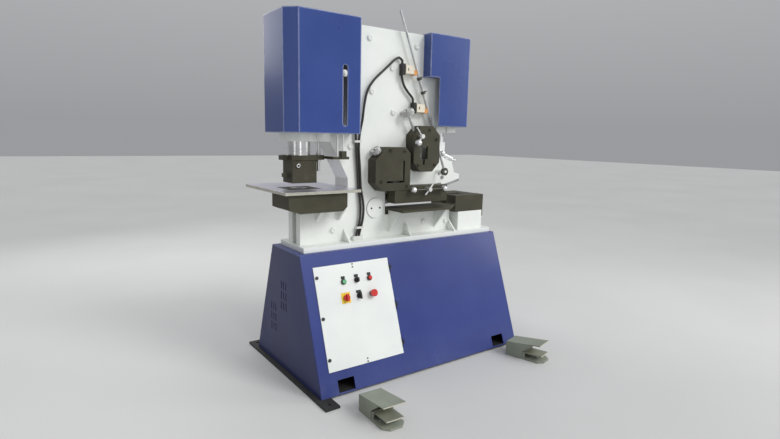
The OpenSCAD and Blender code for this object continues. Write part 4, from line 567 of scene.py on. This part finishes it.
# Socket heads on the tie bolts, found from the front faces of their heads
TIE_HEAD_WIDE = 0.05
TIE_SOCKET_R, TIE_SOCKET_HIGH = 0.0135, 0.003
tie_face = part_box("tie_bolts")[0].y
tie_heads = []
for vertex in nodes["tie_bolts"].data.vertices:
    if vertex.co.y < tie_face + NEAR:
        near = [head for head in tie_heads if (head[0] - vertex.co).length < TIE_HEAD_WIDE]
        if near:
            near[0].append(vertex.co)
        else:
            tie_heads.append([vertex.co])
for i, head in enumerate(tie_heads):
    across, up = [v.x for v in head], [v.z for v in head]
    middle = on_front((min(across) + max(across)) / 2, tie_face, (min(up) + max(up)) / 2)
    cap_screw(f"tie_socket_{i}", middle, TIE_SOCKET_R, TIE_SOCKET_HIGH, "machine", "frame_white",
              "frame_white")

# Bright clamp screw of the punch holder
HOLDER_SCREW_X, HOLDER_SCREW_Z = -0.659, 1.152
HOLDER_SCREW_R, HOLDER_SCREW_HIGH = 0.011, 0.009
holder_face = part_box("punch_holder")[0].y
cap_screw("holder_screw", on_front(HOLDER_SCREW_X, holder_face, HOLDER_SCREW_Z), HOLDER_SCREW_R,
          HOLDER_SCREW_HIGH, "ram", "bright_steel")

# Pale screws in the soles of the foot switches, under the pedals: x and y in the hood's own frame
SOLE_SCREWS = [(0.031, -0.147), (0.067, -0.177)]
SOLE_TOP, SOLE_SCREW_R, SOLE_SCREW_HIGH = 0.010, 0.007, 0.005
for side in SIDES:
    for i, (x, y) in enumerate(SOLE_SCREWS):
        cap_screw(f"{side}_sole_screw_{i}", on_sole(side, x, y, SOLE_TOP), SOLE_SCREW_R, SOLE_SCREW_HIGH,
                  "machine", "bright_steel")

# Seam: corners round the disc, corners of its section and half its width
SEAM_SIDES, SEAM_SECTION, SEAM_HALF_WIDE = 72, 8, 0.0011


def seam_ring(name, x, y, z, radius, body):
    """Fine dark ring of round section, lying round the foot of a disc."""
    verts = []
    for i in range(SEAM_SIDES):
        a = 2 * math.pi * i / SEAM_SIDES
        for j in range(SEAM_SECTION):
            b = 2 * math.pi * j / SEAM_SECTION
            r = radius + SEAM_HALF_WIDE * math.cos(b)
            verts.append((x + r * math.cos(a), y + SEAM_HALF_WIDE * math.sin(b), z + r * math.sin(a)))
    return piece(name, verts, ring_faces(SEAM_SIDES, SEAM_SECTION, closed=True), "black_steel", body)


pivot_x, _, pivot_z = joint_of["beam"]["pos_m"]
pivot_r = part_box("pivot_pin")[1].x - pivot_x
plate_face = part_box("front_frame_plate")[0].y
seam_ring("pivot_seam", pivot_x, plate_face, pivot_z, pivot_r, "machine")

# Ribs of a knob: their height, how deep their feet are sunk, and where the widest part begins
RIB_HIGH = 0.0012
RIB_SUNK_SHARE = 0.2
WIDEST_SHARE = 0.98


def knurl(name, node, body, ribs):
    """Ribs along the widest part of a knob, whose axis is that of its joint."""
    axis = Vector(joint_of[body]["axis"]).normalized()
    at = Vector(joint_of[body]["pos_m"])
    aside = axis.orthogonal().normalized()
    across = axis.cross(aside)
    spots = [v.co - at for v in nodes[node].data.vertices]
    far = max((v - axis * v.dot(axis)).length for v in spots)
    ends = [v.dot(axis) for v in spots if (v - axis * v.dot(axis)).length > WIDEST_SHARE * far]
    low, top = min(ends) + 2 * RIB_HIGH, max(ends) - 2 * RIB_HIGH
    rows = ((low, 0), (low + RIB_HIGH, 1), (top - RIB_HIGH, 1), (top, 0))
    verts = []
    for along, lift in rows:
        for i in range(2 * ribs):
            a = math.pi * i / ribs
            r = far - RIB_SUNK_SHARE * RIB_HIGH + RIB_HIGH * lift * (i % 2)
            verts.append(at + axis * along + (aside * math.cos(a) + across * math.sin(a)) * r)
    return piece(name, verts, ring_faces(len(rows), 2 * ribs), "knob_steel", body)


ANGLE_KNOB_RIBS, BAR_KNOB_RIBS = 48, 60
knurl("angle_knob_knurl", "angle_clamp_knob", "angle_knob", ANGLE_KNOB_RIBS)
knurl("bar_knob_knurl", "bar_clamp_knob", "bar_knob", BAR_KNOB_RIBS)

# Plain floor
FLOOR_HALF = 30.0
floor_corners = [(i * FLOOR_HALF, j * FLOOR_HALF, 0) for i, j in ((-1, -1), (1, -1), (1, 1), (-1, 1))]
floor_mesh = bpy.data.meshes.new("floor")
floor_mesh.from_pydata(floor_corners, [], [(0, 1, 2, 3)])
floor = bpy.data.objects.new("floor", floor_mesh)
bpy.context.scene.collection.objects.link(floor)
floor.data.materials.append(looks["floor"])

# Lamps: metres, watts, and watts per square metre for the sun
LIT_POINT = Vector((0, 0, 1.0))


def lamp(name, kind, at, **settings):
    """A lamp that looks at the middle of the machine."""
    data = bpy.data.lights.new(name, kind)
    for key, value in settings.items():
        setattr(data, key, value)
    made = bpy.data.objects.new(name, data)
    made.location = at
    made.rotation_euler = (LIT_POINT - Vector(at)).to_track_quat("-Z", "Y").to_euler()
    bpy.context.scene.collection.objects.link(made)


SUN = dict(at=(1.9, -3.6, 4.2), energy=1.3, angle=math.radians(22))
SOFT_BOXES = {
    "right_box": dict(at=(3.8, -2.4, 2.5), size=1.3, size_y=2.2, energy=40),
    "front_strip": dict(at=(-1.0, -3.7, 2.2), size=0.35, size_y=2.2, energy=14),
    "left_strip": dict(at=(-3.4, -1.5, 1.9), size=0.5, size_y=2.4, energy=5),
    "back_box": dict(at=(-1.0, 3.8, 3.0), size=2.4, size_y=2.0, energy=50),
}
lamp("sun", "SUN", **SUN)
for name, settings in SOFT_BOXES.items():
    lamp(name, "AREA", shape="RECTANGLE", **settings)

# Sky that is white above, grey at the horizon and darker on the left, so that bright metal looks round
SKY_TOP, SKY_HORIZON, SKY_LEFT = (0.95, 0.96, 0.98), (0.46, 0.47, 0.49), (0.16, 0.165, 0.18)
SKY_RISE, SKY_SIDE = (0.02, 0.75), (-0.95, -0.35)
SKY_STRENGTH = 0.70
world = bpy.data.worlds.new("studio")
bpy.context.scene.world = world
world.use_nodes = True
sky = world.node_tree
direction = sky.nodes.new("ShaderNodeSeparateXYZ")
link(sky, sky.nodes.new("ShaderNodeTexCoord").outputs["Generated"], direction.inputs["Vector"])
upward = mix(sky, band(sky, direction.outputs["Z"], SKY_RISE), SKY_HORIZON, SKY_TOP)
whole_sky = mix(sky, band(sky, direction.outputs["X"], SKY_SIDE), SKY_LEFT, upward)
link(sky, whole_sky, sky.nodes["Background"].inputs["Color"])
sky.nodes["Background"].inputs["Strength"].default_value = SKY_STRENGTH

# Camera, turned by yaw and pitch and then rolled
yaw, pitch, roll = (math.radians(a) for a in (CAMERA_YAW, CAMERA_PITCH, CAMERA_ROLL))
ahead = Vector((math.sin(yaw) * math.cos(pitch), math.cos(yaw) * math.cos(pitch), -math.sin(pitch)))
level = Vector((math.cos(yaw), -math.sin(yaw), 0))
upright = level.cross(ahead)
right = level * math.cos(roll) + upright * math.sin(roll)
above = upright * math.cos(roll) - level * math.sin(roll)
lens = bpy.data.cameras.new("photo")
lens.sensor_width = SENSOR_MM
lens.lens = LENS_MM
camera = bpy.data.objects.new("photo", lens)
camera.matrix_world = Matrix.Translation(CAMERA_AT) @ Matrix((right, above, -ahead)).transposed().to_4x4()
bpy.context.scene.collection.objects.link(camera)
bpy.context.scene.camera = camera
bpy.context.scene.view_settings.view_transform = "Standard"
